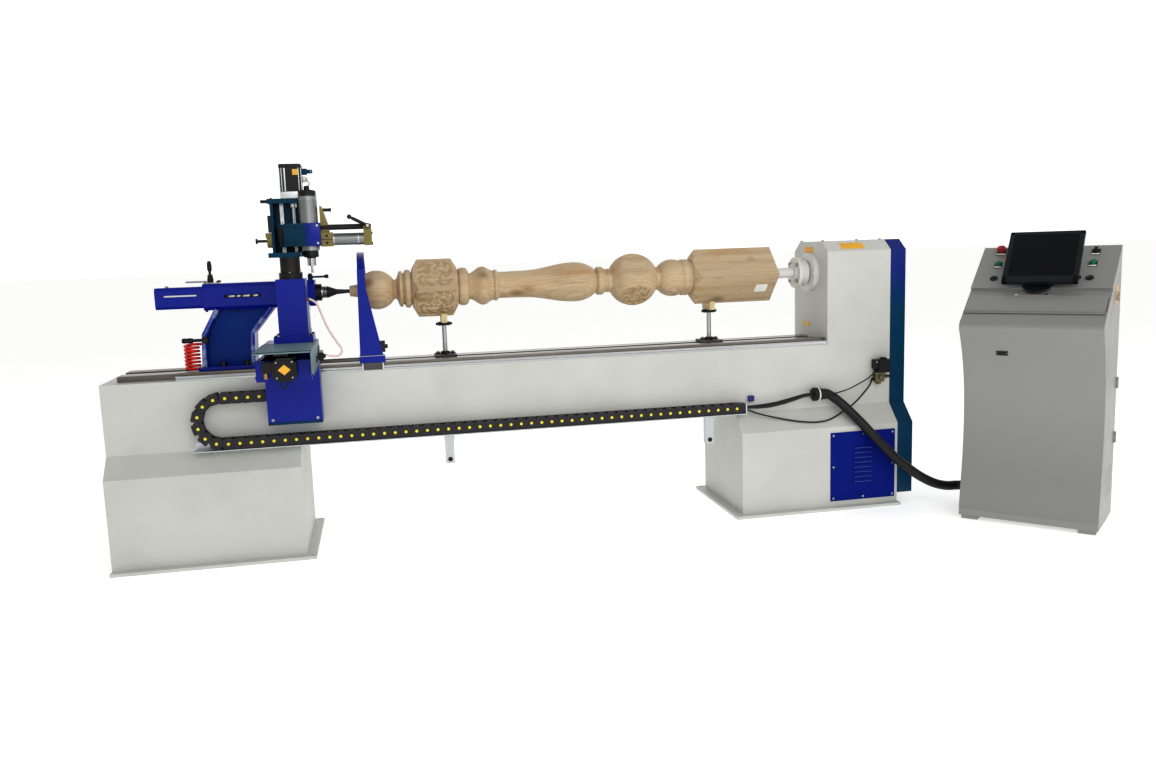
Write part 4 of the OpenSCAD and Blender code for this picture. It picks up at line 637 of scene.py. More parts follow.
class LATHE_OT_stage(bpy.types.Operator):
    """Sets the camera, the pale floor and the soft lights"""
    bl_idname = "lathe.stage"
    bl_label = "Stage and camera"

    def execute(self, context):
        stage = context.scene.lathe_stage
        turn = Matrix.Identity(3)
        for angle, axis in ((CAMERA_PAN, "Z"), (CAMERA_TILT, "X"), (CAMERA_ROLL, "Y")):
            turn = turn @ Matrix.Rotation(angle, 3, axis)
        right, ahead, up = (turn.col[i] for i in range(3))
        camera = new_object("photo_camera", bpy.data.cameras.new("photo_camera"))
        axes = Matrix((right, up, -ahead)).transposed().to_4x4()
        camera.matrix_world = Matrix.Translation(CAMERA_SPOT) @ axes
        camera.data.lens = CAMERA_LENS
        camera.data.sensor_width = SENSOR_WIDTH
        camera.data.clip_end = 100.0
        context.scene.camera = camera
        floor = Form("floor_stage")
        half = stage.floor_size / 2
        floor.plate([(-half, -half), (half, -half), (half, half), (-half, half)], -0.02, 0.0,
                    "studio floor", "XY")
        data = floor.as_mesh()
        material, _, shader, _ = new_material("studio floor")
        set_values(shader, {"Base Color": linear(stage.floor_tone), "Roughness": 0.7,
                            "Emission Color": linear("#FFFFFF"), "Emission Strength": FLOOR_GLOW})
        data.materials.append(material)
        new_object("floor_stage", data)
        world = bpy.data.worlds.new("studio_sky")
        context.scene.world = world
        world.use_nodes = True
        tree = world.node_tree
        way = add_node(tree, "ShaderNodeTexCoord").outputs["Generated"]
        height = add_node(tree, "ShaderNodeSeparateXYZ", links={"Vector": way})
        side = add_node(tree, "ShaderNodeVectorMath", {1: (0.35, 0.94, 0.0)}, {0: way},
                        operation="DOT_PRODUCT")
        level = spread(tree, side.outputs["Value"], 0.2, 0.7, stage.near, stage.horizon)
        fade = add_node(tree, "ShaderNodeMapRange", {"From Min": 0.25, "From Max": 0.5, "To Max": stage.sky},
                        {"Value": height.outputs["Z"], "To Min": level})
        feed(tree, tree.nodes["Background"], {"Strength": fade.outputs["Result"]})
        set_values(tree.nodes["Background"], {"Color": linear("#FFFFFF")})
        lamps = (("key_lamp", (0.5, -7.0, 4.0), (0.0, 0.0, 0.8), 5.0, stage.key_power),
                 ("fill_lamp", (4.5, -4.0, 3.5), (0.8, -0.2, 0.8), 4.0, stage.fill_power),
                 ("back_lamp", (1.0, 4.5, 5.0), (0.0, 0.0, 0.8), 5.0, stage.fill_power))
        for name, spot, aim, size, power in lamps:
            lamp = new_object(name, bpy.data.lights.new(name, "AREA"))
            lamp.data.energy = power
            lamp.data.size = size
            lamp.location = spot
            lamp.rotation_euler = (Vector(aim) - Vector(spot)).to_track_quat("-Z", "Y").to_euler()
        context.scene.view_settings.view_transform = "Standard"
        context.scene.view_settings.look = "Medium High Contrast"
        return {"FINISHED"}


def tube_curve(name, route, diameter, finish_name, body):
    """A round hose or lead along its route, as one open curve."""
    data = bpy.data.curves.new(name, "CURVE")
    data.dimensions = "3D"
    spline = data.splines.new("POLY")
    spline.points.add(len(route) - 1)
    for point, spot in zip(spline.points, route):
        point.co = (*spot, 1.0)
    data.bevel_depth = diameter / 2
    data.bevel_resolution = 8
    data.use_fill_caps = True
    data.materials.append(finish(finish_name))
    piece = new_object(name, data)
    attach(piece, body)
    return piece


def smooth_route(route, steps):
    """More points on one smooth curve through a route's points."""
    knots = [Vector(p) for p in route]
    knots = [2 * knots[0] - knots[1]] + knots + [2 * knots[-1] - knots[-2]]
    result = []
    for a, b, c, d in zip(knots, knots[1:], knots[2:], knots[3:]):
        for i in range(steps):
            t = i / steps
            result.append(0.5 * (2 * b + (c - a) * t + (2 * a - 5 * b + 4 * c - d) * t * t
                                 + (3 * b - a - 3 * c + d) * t ** 3))
    return [tuple(p) for p in result] + [tuple(knots[-2])]


def coil_route():
    """The coiled air line: straight end, clockwise helix, straight end."""
    steps = 24
    x, y = COIL_AXIS
    top = COIL_LOW + COIL_PITCH * COIL_TURNS
    route = [(COIL_START_X, y - COIL_RADIUS, COIL_LOW), (COIL_START_X - 0.012, y - COIL_RADIUS, COIL_LOW)]
    for i in range(int(COIL_TURNS * steps) + 1):
        angle = radians(-90) - tau * i / steps
        route.append((x + COIL_RADIUS * cos(angle), y + COIL_RADIUS * sin(angle),
                      COIL_LOW + COIL_PITCH * i / steps))
    route += [(COIL_END_X - 0.012, y + COIL_RADIUS, top), (COIL_END_X, y + COIL_RADIUS, top)]
    return route


class LATHE_OT_cords(bpy.types.Operator):
    """Makes the console hose, the leads, the air line and the red coil"""
    bl_idname = "lathe.cords"
    bl_label = "Hoses and leads"

    def execute(self, context):
        # Each cord: name, route, diameter, finish, the body it rides on and the node it stands for
        rows = (("console_hose_jacket", HOSE_ROUTE, 0.045, RUBBER, "machine_base", "console_hose"),
                ("signal_lead_front", LEAD_FRONT, 0.012, RUBBER, "machine_base", "machine_leads"),
                ("signal_lead_back", LEAD_BACK, 0.012, RUBBER, "machine_base", ""),
                ("valve_lead", VALVE_LEAD, 0.008, RUBBER, "machine_base", ""),
                ("thin_lead", THIN_LEAD, 0.006, RUBBER, "machine_base", ""),
                ("spindle_air_line", AIR_ROUTE, 0.009, "pale air hose", "cross_slide", "spindle_air_hose"),
                ("red_air_coil", coil_route(), 0.012, "clear red hose", "tailstock", "air_coil"))
        for name, points, diameter, finish_name, body, node in rows:
            coiled = node == "air_coil"
            route = points if coiled else smooth_route(points, 4)
            piece = tube_curve(name, route, diameter, finish_name, body)
            if node:
                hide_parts(node)
        return {"FINISHED"}


NODE_FINISH = {
    "powder-coated pale grey steel": ("bed_beam", "left_pedestal", "right_pedestal", "headstock_cabinet"),
    "oiled ground ways": ("bed_rails",),
    CAST_IRON: ("spindle_bearings", "support_feet"),
    "white enamel": ("bearing_cover", "main_spindle", "drive_center"),
    BRIGHT: ("quill", "cross_screw", "rack_pinion", "z_screw", "cutter", "support_post_left",
             "support_post_right"),
    "brushed spindle steel": ("milling_spindle",),
    BLACK: ("main_motor", "feed_motors", "z_motor", "motor_pulley", "barrel_lever", "clamp_handle",
            "side_lever"),
    RUBBER: ("drive_belt", "machine_leads", "console_hose", "spindle_air_hose"),
    DARK: ("live_center",),
    "clear red hose": ("air_coil",),
    ALUMINIUM: ("chain_tray",),
    PLASTIC: ("gland_and_valve", "monitor_stand", "selector_switch"),
    NYLON: ("chain_lower_run", "chain_upper_run", "chain_bend_lower", "chain_bend_upper"),
    CONSOLE: ("console_cabinet", "console_door", "keyboard_lid"),
    "grey painted sheet": ("control_modules", "slide_hood"),
    HOUSING: ("monitor_screen",),
    "red button plastic": ("estop_button",),
    "green button plastic": ("start_button", "run_button"),
    WOOD: ("workpiece",),
    "royal blue enamel": ("saddle", "apron", "steady_frame", "column", "tailstock_body"),
    PANEL_BLUE: ("louvre_panel",),
    "blue to teal enamel": ("end_belt_cover",),
    "teal enamel": ("z_frame", "spindle_clamp", "quill_lock_lever"),
    "hammered olive paint": ("side_spindle",),
}
# Places on a node that have a finish of their own: node, finish, low corner, high corner, in metres
NODE_PATCHES = (
    ("tailstock_body", WEB_BLUE, (-1.43, -0.0145, 0.846), (-1.1, -0.0135, 1.1)),
    ("tailstock_body", WEB_BLUE, (-1.43, 0.0135, 0.846), (-1.1, 0.0145, 1.1)),
    ("tailstock_body", DARK, (-1.345, -0.1, 0.8455), (-1.205, -0.062, 0.858)),
    ("tailstock_body", DARK, (-1.345, 0.062, 0.8455), (-1.205, 0.1, 0.858)),
    ("tailstock_body", DARK, (-0.9155, -0.045, 1.1), (-0.889, 0.045, 1.19)),
    ("barrel_lever", BRIGHT, (-1.47, -0.01, 1.208), (-1.379, 0.01, 1.224)),
    ("quill_lock_lever", PLASTIC, (-0.8695, -0.01, 1.21), (-0.85, 0.01, 1.23)),
    ("saddle", CAST_IRON, (-1.125, -0.193, 0.79), (-0.905, -0.16, 0.8345)),
    ("steady_frame", CAST_IRON, (-0.73, -0.193, 0.79), (-0.63, -0.16, 0.8345)),
    ("bed_rails", BRIGHT, (-1.52, -0.189, 0.8), (1.487, -0.164, 0.8205)),
    ("steady_frame", CAST_IRON, (-0.912, -0.187, 0.84), (-0.737, -0.166, 0.862)),
    ("steady_frame", DARK, (-0.6455, -0.2, 0.878), (-0.622, -0.16, 0.93)),
    ("z_frame", BLACK, (-1.05, -0.35, 1.2195), (-0.94, -0.24, 1.2465)),
    ("z_frame", DARK, (-1.04, -0.34, 1.2467), (-0.95, -0.25, 1.3095)),
    ("z_frame", BRIGHT, (-1.0405, -0.0725, 1.331), (-1.0235, -0.0585, 1.5605)),
    ("z_frame", BRIGHT, (-0.9465, -0.0725, 1.331), (-0.9295, -0.0585, 1.5605)),
    ("z_frame", "hammered olive paint", (-1.0965, -0.15, 1.35), (-1.0735, -0.08, 1.4135)),
    ("z_frame", PLASTIC, (-1.145, -0.13, 1.37), (-1.0965, -0.1, 1.395)),
    ("z_frame", PLASTIC, (-1.12, -0.13, 1.54), (-1.0855, -0.1, 1.562)),
    ("milling_spindle", BLACK, (-0.96, -0.24, 1.5655), (-0.86, -0.14, 1.6)),
    ("milling_spindle", BLACK, (-0.96, -0.24, 1.3), (-0.86, -0.14, 1.3365)),
    ("side_spindle", BLACK, (-0.826, -0.203, 1.415), (-0.688, -0.177, 1.446)),
    ("side_spindle", "brushed spindle steel", (-0.8148, -0.217, 1.353), (-0.6852, -0.163, 1.407)),
    ("side_spindle", PLASTIC, (-0.85, -0.1985, 1.499), (-0.82, -0.1815, 1.515)),
    ("support_post_left", DARK, (-0.376, -0.027, 0.9715), (-0.32, 0.027, 0.9858)),
    ("support_post_right", DARK, (0.92, -0.027, 0.9715), (0.976, 0.027, 0.9858)),
    ("gland_and_valve", "blue connector plastic", (1.07, -0.215, 0.545), (1.103, -0.185, 0.577)),
    ("support_post_left", "hardwood pad", (-0.4, -0.07, 0.985), (-0.3, 0.07, 1.1)),
    ("support_post_right", "hardwood pad", (0.9, -0.07, 0.985), (1.0, 0.07, 1.1)),
    ("louvre_panel", ZINC, (1.46, -0.2815, 0.03), (1.81, -0.2781, 0.385)),
    ("gland_and_valve", VALVE, (1.72, -0.26, 0.6), (1.8, -0.18, 0.652)),
)


def dress(node, finish_name):
    """Gives a CAD node's solid one finish."""
    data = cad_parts[node].data
    data.materials.clear()
    data.materials.append(finish(finish_name))


def patch(node, finish_name, low, high):
    """Gives the faces of a CAD node that lie within a box another finish."""
    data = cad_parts[node].data
    data.materials.append(finish(finish_name))
    index = len(data.materials) - 1
    for face in data.polygons:
        if all(low[i] <= face.center[i] <= high[i] for i in range(3)):
            face.material_index = index


class LATHE_OT_finishes(bpy.types.Operator):
    """Gives every solid of the frame its real finish"""
    bl_idname = "lathe.finishes"
    bl_label = "Finishes of the solids"

    def execute(self, context):
        for finish_name, nodes in NODE_FINISH.items():
            for node in nodes:
                dress(node, finish_name)
        for node, finish_name, low, high in NODE_PATCHES:
            patch(node, finish_name, low, high)
        return {"FINISHED"}


# Energy chain: pitch, height and width of a link, and where its runs lie, in metres
LINK_PITCH = 0.047
LINK_HEIGHT = 0.046
CHAIN_WIDTH = 0.056
CHAIN_Y = -0.226
CHAIN_LOW_Z = 0.524
CHAIN_HIGH_Z = 0.722
CHAIN_BEND_X = -1.331
CHAIN_FIXED_X = 1.04
CHAIN_MOVING_X = -1.07


def chain_link(form, at):
    """One link: two moulded side plates, two cross bars, hinge pins and yellow dots."""
    half, high, wide = LINK_PITCH / 2, LINK_HEIGHT / 2, CHAIN_WIDTH / 2
    cut = 0.0035
    outline = [(-half + cut, -high), (half - cut, -high), (half - 0.0004, -high + cut),
               (half - 0.0004, high - cut), (half - cut, high), (-half + cut, high),
               (-half + 0.0004, high - cut), (-half + 0.0004, -high + cut)]
    for side in (-1, 1):
        outer = side * wide
        form.plate(outline, min(outer, outer - side * 0.006), max(outer, outer - side * 0.006), NYLON,
                   "XZ", at)
        form.rod((-half + 0.004, outer - side * 0.004, 0), (-half + 0.004, outer - side * 0.0002, 0), 0.011,
                 NYLON, 16, at=at)
        form.rod((0.0, outer - side * 0.002, 0.001), (0.0, outer + side * 0.0007, 0.001), 0.0066,
                 "yellow chain dot", 16, edge=0.0003, at=at)
    for level in (-1, 1):
        form.box((-half + 0.01, -wide + 0.004, level * high - 0.004 if level > 0 else -high + 0.0002),
                 (half - 0.01, wide - 0.004, high - 0.0002 if level > 0 else -high + 0.004), NYLON,
                 0.001, at)


class LATHE_OT_energy_chain(bpy.types.Operator):
    """Makes the links of the energy chain on its two runs and its bend"""
    bl_idname = "lathe.energy_chain"
    bl_label = "Energy chain"

    def execute(self, context):
        runs = (("low", CHAIN_FIXED_X, CHAIN_LOW_Z, "machine_base", "chain_lower_run"),
                ("high", CHAIN_MOVING_X, CHAIN_HIGH_Z, "carriage", "chain_upper_run"))
        for name, end, level, body, node in runs:
            form = Form("chain_links_" + name)
            for i in range(int((end - CHAIN_BEND_X) / LINK_PITCH)):
                spot = (CHAIN_BEND_X + (i + 0.5) * LINK_PITCH, CHAIN_Y, level)
                chain_link(form, Matrix.Translation(spot))
            if name == "low":
                form.box((end - 0.03, CHAIN_Y - 0.026, level - 0.021),
                         (end - 0.001, CHAIN_Y + 0.026, level + 0.021), NYLON, 0.003)
            form.done(body, (node,))
        radius = (CHAIN_HIGH_Z - CHAIN_LOW_Z) / 2
        middle = Vector((CHAIN_BEND_X, CHAIN_Y, (CHAIN_LOW_Z + CHAIN_HIGH_Z) / 2))
        for name, first, node in (("low", 180, "chain_bend_lower"), ("high", 90, "chain_bend_upper")):
            form = Form("chain_links_bend_" + name)
            for i in range(3):
                angle = radians(first + 15 + 30 * i)
                spot = middle + Vector((radius * cos(angle), 0, radius * sin(angle)))
                chain_link(form, Matrix.Translation(spot) @ Matrix.Rotation(-angle - pi / 2, 4, "Y"))
            form.done(node, (node,))
        return {"FINISHED"}


def carved_height(a, b):
    """Relief of a plain rosette in two rings of curling leaves, for places within one unit."""
    radius, angle = hypot(a, b), atan2(b, a)
    petals = abs(cos(3 * angle)) ** 0.7 * max(0.0, 1 - abs(radius - 0.2) / 0.13)
    height = max(petals, 1 - radius / 0.08)
    for count, twist, low, high in ((5, 9.0, 0.32, 0.66), (9, -11.0, 0.62, 0.95)):
        curl = count * angle + twist * radius + 1.3 * sin(3 * angle + 4 * radius)
        inside = min(1.0, max(0.0, radius - low) * 14) * min(1.0, max(0.0, high - radius) * 14)
        leaf = max(0.0, sin(curl)) ** 0.6 * inside
        height = max(height, leaf + 0.25 * sin(4 * curl) * min(1.0, 3 * leaf))
    return height


def post_face(quarter, along=0.0):
    """Frame of one of the post's four flat faces, at a distance along it."""
    face = Matrix.Rotation(radians(45 + 90 * quarter), 4, "X")
    return Matrix.Translation((WORK_LEFT + along, 0, AXIS_Z)) @ face


def carved_field(form, quarter, middle, face, half, power, depth, toned=True):
    """Lays one carved field with a rounded outline on a flat face of the post."""
    rings, sides = 44, 144
    turn = post_face(quarter, middle)
    rows, tops = [], []
    for i in range(rings + 1):
        row, heights = [], []
        for k in range(sides):
            angle = tau * k / sides
            c, d = cos(angle), sin(angle)
            reach = i / rings / (abs(c) ** power + abs(d) ** power) ** (1 / power)
            rim = 0.7 + 0.3 * cos(36 * angle) if 0.9 < i / rings < 0.97 else 0.0
            height = max(rim, carved_height(reach * c, reach * d))
            lift = -0.0005 if i == rings else max(0.0003 + depth * height, 0.0002)
            heights.append(height)
            spot = Vector((reach * c * half[0], reach * d * half[1], face + lift))
            row.append(form.mesh.verts.new(turn @ spot))
        rows.append(row)
        tops.append(heights)
    for i in range(1, rings):
        for k in range(sides):
            n = (k + 1) % sides
            patch_face = form.mesh.faces.new((rows[i][k], rows[i + 1][k], rows[i + 1][n], rows[i][n]))
            # Faces low in the relief take the darker wood: painted shade in the hollows of the carving
            patch_face.material_index = 1 if toned and tops[i][k] + tops[i + 1][n] < 0.5 else 0
    form.mesh.faces.new(rows[1])


class LATHE_OT_turned_post(bpy.types.Operator):
    """Lays carved fields on the block and the ball of the turned post, and a bare paper label"""
    bl_idname = "lathe.turned_post"
    bl_label = "Turned post"

    def execute(self, context):
        form = Form("carved_fields")
        form.finishes += [WOOD, SHADED_HOLLOW]
        for quarter in range(4):
            depth = 0.002 if quarter == 0 else 0.0034
            carved_field(form, quarter, BLOCK_ONE_MIDDLE, BLOCK_FACE, (0.09, 0.086), 3.6, depth)
            carved_field(form, quarter, BALL_MIDDLE, BALL_FACE, (0.0695, 0.0695), 2.0, depth, quarter > 0)
        form.box((1.93, -0.023, BLOCK_FACE - 0.0003), (1.99, 0.028, BLOCK_FACE + 0.0004), LABEL, 0,
                 post_face(1))
        form.done("spindle", smooth=60)
        return {"FINISHED"}


class LATHE_OT_headstock(bpy.types.Operator):
    """Screws and plates of the headstock, screws of the faceplate, hoods of the louvres"""
    bl_idname = "lathe.headstock"
    bl_label = "Headstock details"

    def execute(self, context):
        form = Form("headstock_trim")
        for x, y in ((1.494, -0.12), (1.672, -0.12), (1.794, -0.12), (1.494, 0.12)):
            form.turned([(0.008, 0), (0.008, 0.002), (0.006, 0.006), (0, 0.008)], (x, y, 1.2965), UP,
                        ZINC, 20)
        # Bare plates: a dark gold one and an amber one on the end face, a long amber one on the chamfer
        form.box((1.4845, 0.005, 0.876), (1.4862, 0.09, 0.896), BRASS, 0.0003)
        form.box((1.4845, -0.03, 1.243), (1.4862, 0.07, 1.271), AMBER, 0.0003)
        chamfer = Matrix.Translation((1.568, -0.125, 1.297)) @ Matrix.Rotation(CHAMFER_TURN, 4, "X")
        form.box((0, -0.065, -0.0003), (0.119, -0.02, 0.001), AMBER, 0.0003, chamfer)
        form.done("machine_base")
        face = Form("faceplate_trim")
        for y, z in circle(0.058, 4, 45):
            face.hex_screw((1.3962, y, AXIS_Z + z), LEFT, 0.017, 0.01, ZINC)
        face.done("spindle")
        # Pressed hoods over the louvres of the pedestal's panel
        panel = Form("louvre_hoods")
        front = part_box("louvre_panel")[0][1] + 0.003
        for k in range(8):
            low = 0.1235 + 0.024 * k
            panel.plate([(front, low + 0.0175), (front - 0.0065, low + 0.0055),
                         (front - 0.0065, low + 0.004), (front + 0.0005, low + 0.016)], 1.584, 1.675,
                        PANEL_BLUE, "YZ")
            # A pale strip along each hood's lip: a painted highlight
            panel.box((1.584, front - 0.007, low + 0.0036), (1.675, front - 0.0062, low + 0.0052),
                      "painted highlight louvre lip", 0)
            for x in (1.584, 1.6735):
                panel.plate([(front, low + 0.0175), (front - 0.0065, low + 0.005), (front, low + 0.005)], x,
                            x + 0.0015, PANEL_BLUE, "YZ")
        panel.done("machine_base")
        return {"FINISHED"}


class LATHE_OT_bed(bpy.types.Operator):
    """Screws of the rail and the tray, polished strips of the ways, gland and valve parts"""
    bl_idname = "lathe.bed"
    bl_label = "Bed details"

    def execute(self, context):
        rail = Form("rail_screws")
        for k in range(50):
            rail.cap_screw((-1.47 + 0.06 * k, RAIL_Y, 0.8195), UP, 0.0045, 0.00054, DARK)
        rail.done("machine_base")
        strips = Form("way_strips")
        for low, high in ((-0.1195, -0.094), (-0.052, -0.0305), (0.0305, 0.052), (0.094, 0.1195)):
            strips.box((-1.33, low, WAY_TOP - 0.001), (HEAD_LEFT, high, WAY_TOP + 0.0002), WAY_STRIP, 0)
        for low, high in ((-0.0105, -0.0055), (0.0055, 0.0105)):
            strips.box((-1.51, RAIL_Y + low, 0.8192), (HEAD_LEFT, RAIL_Y + high, 0.82004), WAY_STRIP, 0)
        strips.done("machine_base")
        tray = Form("tray_screws")
        for leg in TRAY_LEGS:
            tray.hex_screw((leg + 0.019, -0.224, 0.38), FRONT, 0.017, 0.009, DARK)
            tray.box((leg - 0.004, -0.23, 0.47), (leg + 0.042, -0.2235, 0.4955), ALUMINIUM, 0.001)
        for k in range(21):
            tray.cap_screw((-1.38 + 0.118 * k, -0.1935, 0.52), FRONT, 0.005, 0.003, ZINC)
        tray.done("machine_base")
        gland = Form("gland_parts")
        gland.rod((1.3935, -0.226, 0.565), (1.4035, -0.226, 0.565), 0.0335, PLASTIC, 8, edge=0.002)
        gland.rod((1.4165, -0.226, 0.565), (1.4225, -0.226, 0.565), 0.034, LABEL, 40, edge=0.001)
        gland.turned([(0.0275, 0), (0.0285, 0.004), (0.027, 0.01), (0.0275, 0.016), (0.0255, 0.024),
                      (0.026, 0.03), (0.0235, 0.04)], (1.4265, -0.226, 0.565), (1, 0, -0.05), RUBBER, 32)
        gland.done("machine_base")
        valve = Form("valve_parts")
        valve.rod((1.748, -0.208, 0.594), (1.748, -0.208, 0.6065), 0.015, VALVE, 6, edge=0.001)
        valve.rod((1.748, -0.226, 0.629), (1.748, -0.24, 0.629), 0.011, VALVE, 6, edge=0.001)
        valve.rod((1.77, -0.208, 0.629), (1.79, -0.208, 0.629), 0.01, VALVE, 6, edge=0.001)
        valve.rod((1.79, -0.208, 0.629), (1.806, -0.208, 0.629), 0.006, DARK, 20)
        valve.rod((1.77, -0.214, 0.7155), (1.77, -0.214, 0.724), 0.016, PLASTIC, 24, edge=0.002)
        valve.box((1.716, -0.236, 0.672), (1.7375, -0.2, 0.7165), PLASTIC, 0.002)
        valve.rod((1.726, -0.212, 0.6725), (1.726, -0.212, 0.664), 0.008, PLASTIC, 16)
        valve.cap_screw((1.726, -0.236, 0.705), FRONT, 0.004, 0.002, ZINC)
        valve.done("machine_base")
        return {"FINISHED"}


class LATHE_OT_tailstock(bpy.types.Operator):
    """Rib beads, slot bits, lever plate, collar screws and bolts of the tailstock"""
    bl_idname = "lathe.tailstock"
    bl_label = "Tailstock details"

    def execute(self, context):
        form = Form("tailstock_trim")
        # Cast beads that round the two ribs off at the front and the back
        lines = (((-1.409, 0.844), (-1.401, 0.983), (-1.339, 1.092)),
                 ((-1.203, 0.844), (-1.197, 0.983), (-1.107, 1.092)))
        # The beads' pale spots and edges are partly chipped paint and partly a painted highlight
        for side in (-1, 1):
            for line in lines:
                bends = [Vector((x, side * 0.056, z)) for x, z in line]
                for start, end in zip(bends, bends[1:]):
                    form.rod(start, end, 0.0112, "thick rib enamel with painted glare", 20, edge=0)
                form.ball(bends[1], 0.0112, "thick rib enamel with painted glare", 20)
        # Rack bits in the barrel's slot and the pale strip in the rear slot
        form.box((-1.302, -0.047, 1.141), (-1.148, -0.03, 1.155), DARK, 0)
        for x, length in ((-1.286, 0.026), (-1.252, 0.016), (-1.226, 0.03), (-1.182, 0.02)):
            form.box((x, -0.053, 1.144), (x + length, -0.046, 1.152), BRIGHT, 0.002)
        form.box((-1.556, -0.0455, 1.1535), (-1.421, -0.041, 1.1605), "white enamel", 0.001)
        # Plate, stop and nut on top of the barrel, and two nuts below it
        form.box((-1.392, -0.024, 1.2048), (-1.33, 0.024, 1.2095), BRIGHT, 0.001)
        form.cap_screws(places((-1.386, -1.337), -0.015, 1.2092), UP, 0.0045, 0.002, DARK)
        form.box((-1.336, -0.018, 1.2095), (-1.322, 0.018, 1.2185), DARK, 0.001)
        form.hex_screw((-1.545, -0.02, 1.1938), UP, 0.014, 0.008, ZINC)
        for x in (-1.385, -1.255):
            form.rod((x, -0.03, 1.089), (x, -0.03, 1.082), 0.006, DARK, 6)
        # Collar screws round the quill, and bolts of the foot
        collar = [(-0.8905, y, AXIS_Z + z) for y, z in circle(0.033, 4, 45)]
        form.cap_screws(collar, RIGHT, 0.0038, 0.004, DARK)
        form.cap_screws(places((-1.325, -1.225), (-0.08, 0.08), 0.8565), UP, 0.012, 0.008, DARK)
        # Union of the air line on the foot
        form.rod((-1.4265, -0.049, 0.835), (-1.437, -0.049, 0.835), 0.0088, BRASS, 6)
        form.done("tailstock")
        grip = Form("clamp_handle_grip")
        grip.turned([(0.0075, 0), (0.0106, 0.003), (0.0116, 0.016), (0.0108, 0.028), (0.0116, 0.04),
                     (0.0085, 0.046)], (-1.445, -0.072, 0.962), LEFT, PLASTIC, 28)
        grip.cap_screw((-1.396, -0.082, 0.962), FRONT, 0.008, 0.004, DARK)
        grip.done("clamp_handle")
        knob = Form("barrel_lever_knob")
        knob.turned([(0.0062, 0), (0.0095, 0.006), (0.0105, 0.022), (0.0088, 0.04), (0.005, 0.047)],
                    (-1.364, 0, 1.258), UP, PLASTIC, 24)
        knob.rod((-1.364, 0, 1.2315), (-1.364, 0, 1.244), 0.0115, DARK, 6)
        knob.done("barrel_lever")
        nose = Form("lock_lever_end")
        nose.rod((-0.872, 0, 1.2183), (-0.856, 0, 1.2183), 0.0085, PLASTIC, 20, edge=0.002)
        nose.hex_screw((-0.936, 0, 1.2272), UP, 0.016, 0.007, DARK)
        nose.done("quill_lock_lever")
        centre = Form("live_center_rings")
        for along in (0.004, 0.012):
            centre.turned([(0.0262, 0), (0.0267, 0.0006), (0.0267, 0.0024), (0.0262, 0.003)],
                          (-0.884 + along, 0, AXIS_Z), RIGHT, BRIGHT, 40)
        centre.done("live_center")
        return {"FINISHED"}


class LATHE_OT_carriage(bpy.types.Operator):
    """Wipers, fittings, cross motor cap and steady screws on the carriage"""
    bl_idname = "lathe.carriage"
    bl_label = "Carriage and steady details"

    def execute(self, context):
        form = Form("carriage_trim")
        # End caps and wipers of the guide blocks
        wipers = ((-0.1925, -0.1884, 0.8035, 0.8206), (-0.1646, -0.1605, 0.8035, 0.8206),
                  (-0.1925, -0.1605, 0.8206, 0.833))
        for low, high in ((-1.12, -1.06), (-0.972, -0.912), (-0.723, -0.639)):
            for x, out in ((low, -0.004), (high, 0.004)):
                for near, far, level, top in wipers:
                    form.box((min(x, x + out), near, level), (max(x, x + out), far, top), LABEL, 0.0006)
        # Cross motor: front cap with four screws, connector and cable boss
        octagon = [(-1.008 + x, 0.884 + z) for x, z in circle(0.04, 8, 22.5)]
        form.plate(octagon, -0.7262, -0.7235, BLACK)
        form.cap_screws(places((-1.03724, -0.97876), -0.7238, (0.854, 0.914)), FRONT, 0.0035, 0.002, ZINC)
        form.plate([(-1.008, 0.905), (-1.032, 0.885), (-1.008, 0.865), (-0.984, 0.885)], -0.7268, -0.726,
                   AMBER)
        form.box((-1.092, -0.712, 0.872), (-1.0535, -0.686, 0.914), DARK, 0.003)
        form.rod((-1.08, -0.699, 0.872), (-1.08, -0.699, 0.85), 0.008, BRASS, 8)
        # Slide gib screws along both saddle walls
        for side, x in ((-1, -1.1195), (1, -0.9125)):
            for k in range(5):
                form.hex_screw((x, -0.64 + 0.085 * k, 0.902), (side, 0, 0), 0.01, 0.005, DARK)
        # Screws and folded lower rim of the apron
        form.cap_screws(places((-1.112, -0.926), -0.295, (0.822, 0.622)), FRONT, 0.006, 0.003, ZINC)
        form.box((-1.132, -0.2968, 0.6), (-0.906, -0.2948, 0.611), "teal enamel", 0.0005)
        form.done("carriage")
        steady = Form("steady_trim")
        # Brass shoes in the bore of the ring, with the bolts that hold them
        for y, z in circle(1.0, 1, 10) + circle(1.0, 1, 170):
            inner, outer, rim = ((STEADY_X, reach * y, AXIS_Z + reach * z) for reach in STEADY_REACH)
            steady.rod(inner, outer, 0.007, BRASS, 20, edge=0.0005)
            steady.hex_screw(rim, (0, y, z), 0.016, 0.008, DARK)
        # Screws of the foot, and the knob and plate of its clamp block
        for x in (-0.728, -0.641):
            steady.hex_screw((x, -0.1735, 0.8648), UP, 0.015, 0.008, ZINC)
        steady.rod((-0.6235, -0.178, 0.904), (-0.612, -0.178, 0.904), 0.01, DARK, 6)
        steady.box((-0.7385, -0.2005, 0.8645), (-0.6235, -0.1985, 0.8668), WAY_STRIP, 0.0003)
        steady.done("carriage")
        return {"FINISHED"}


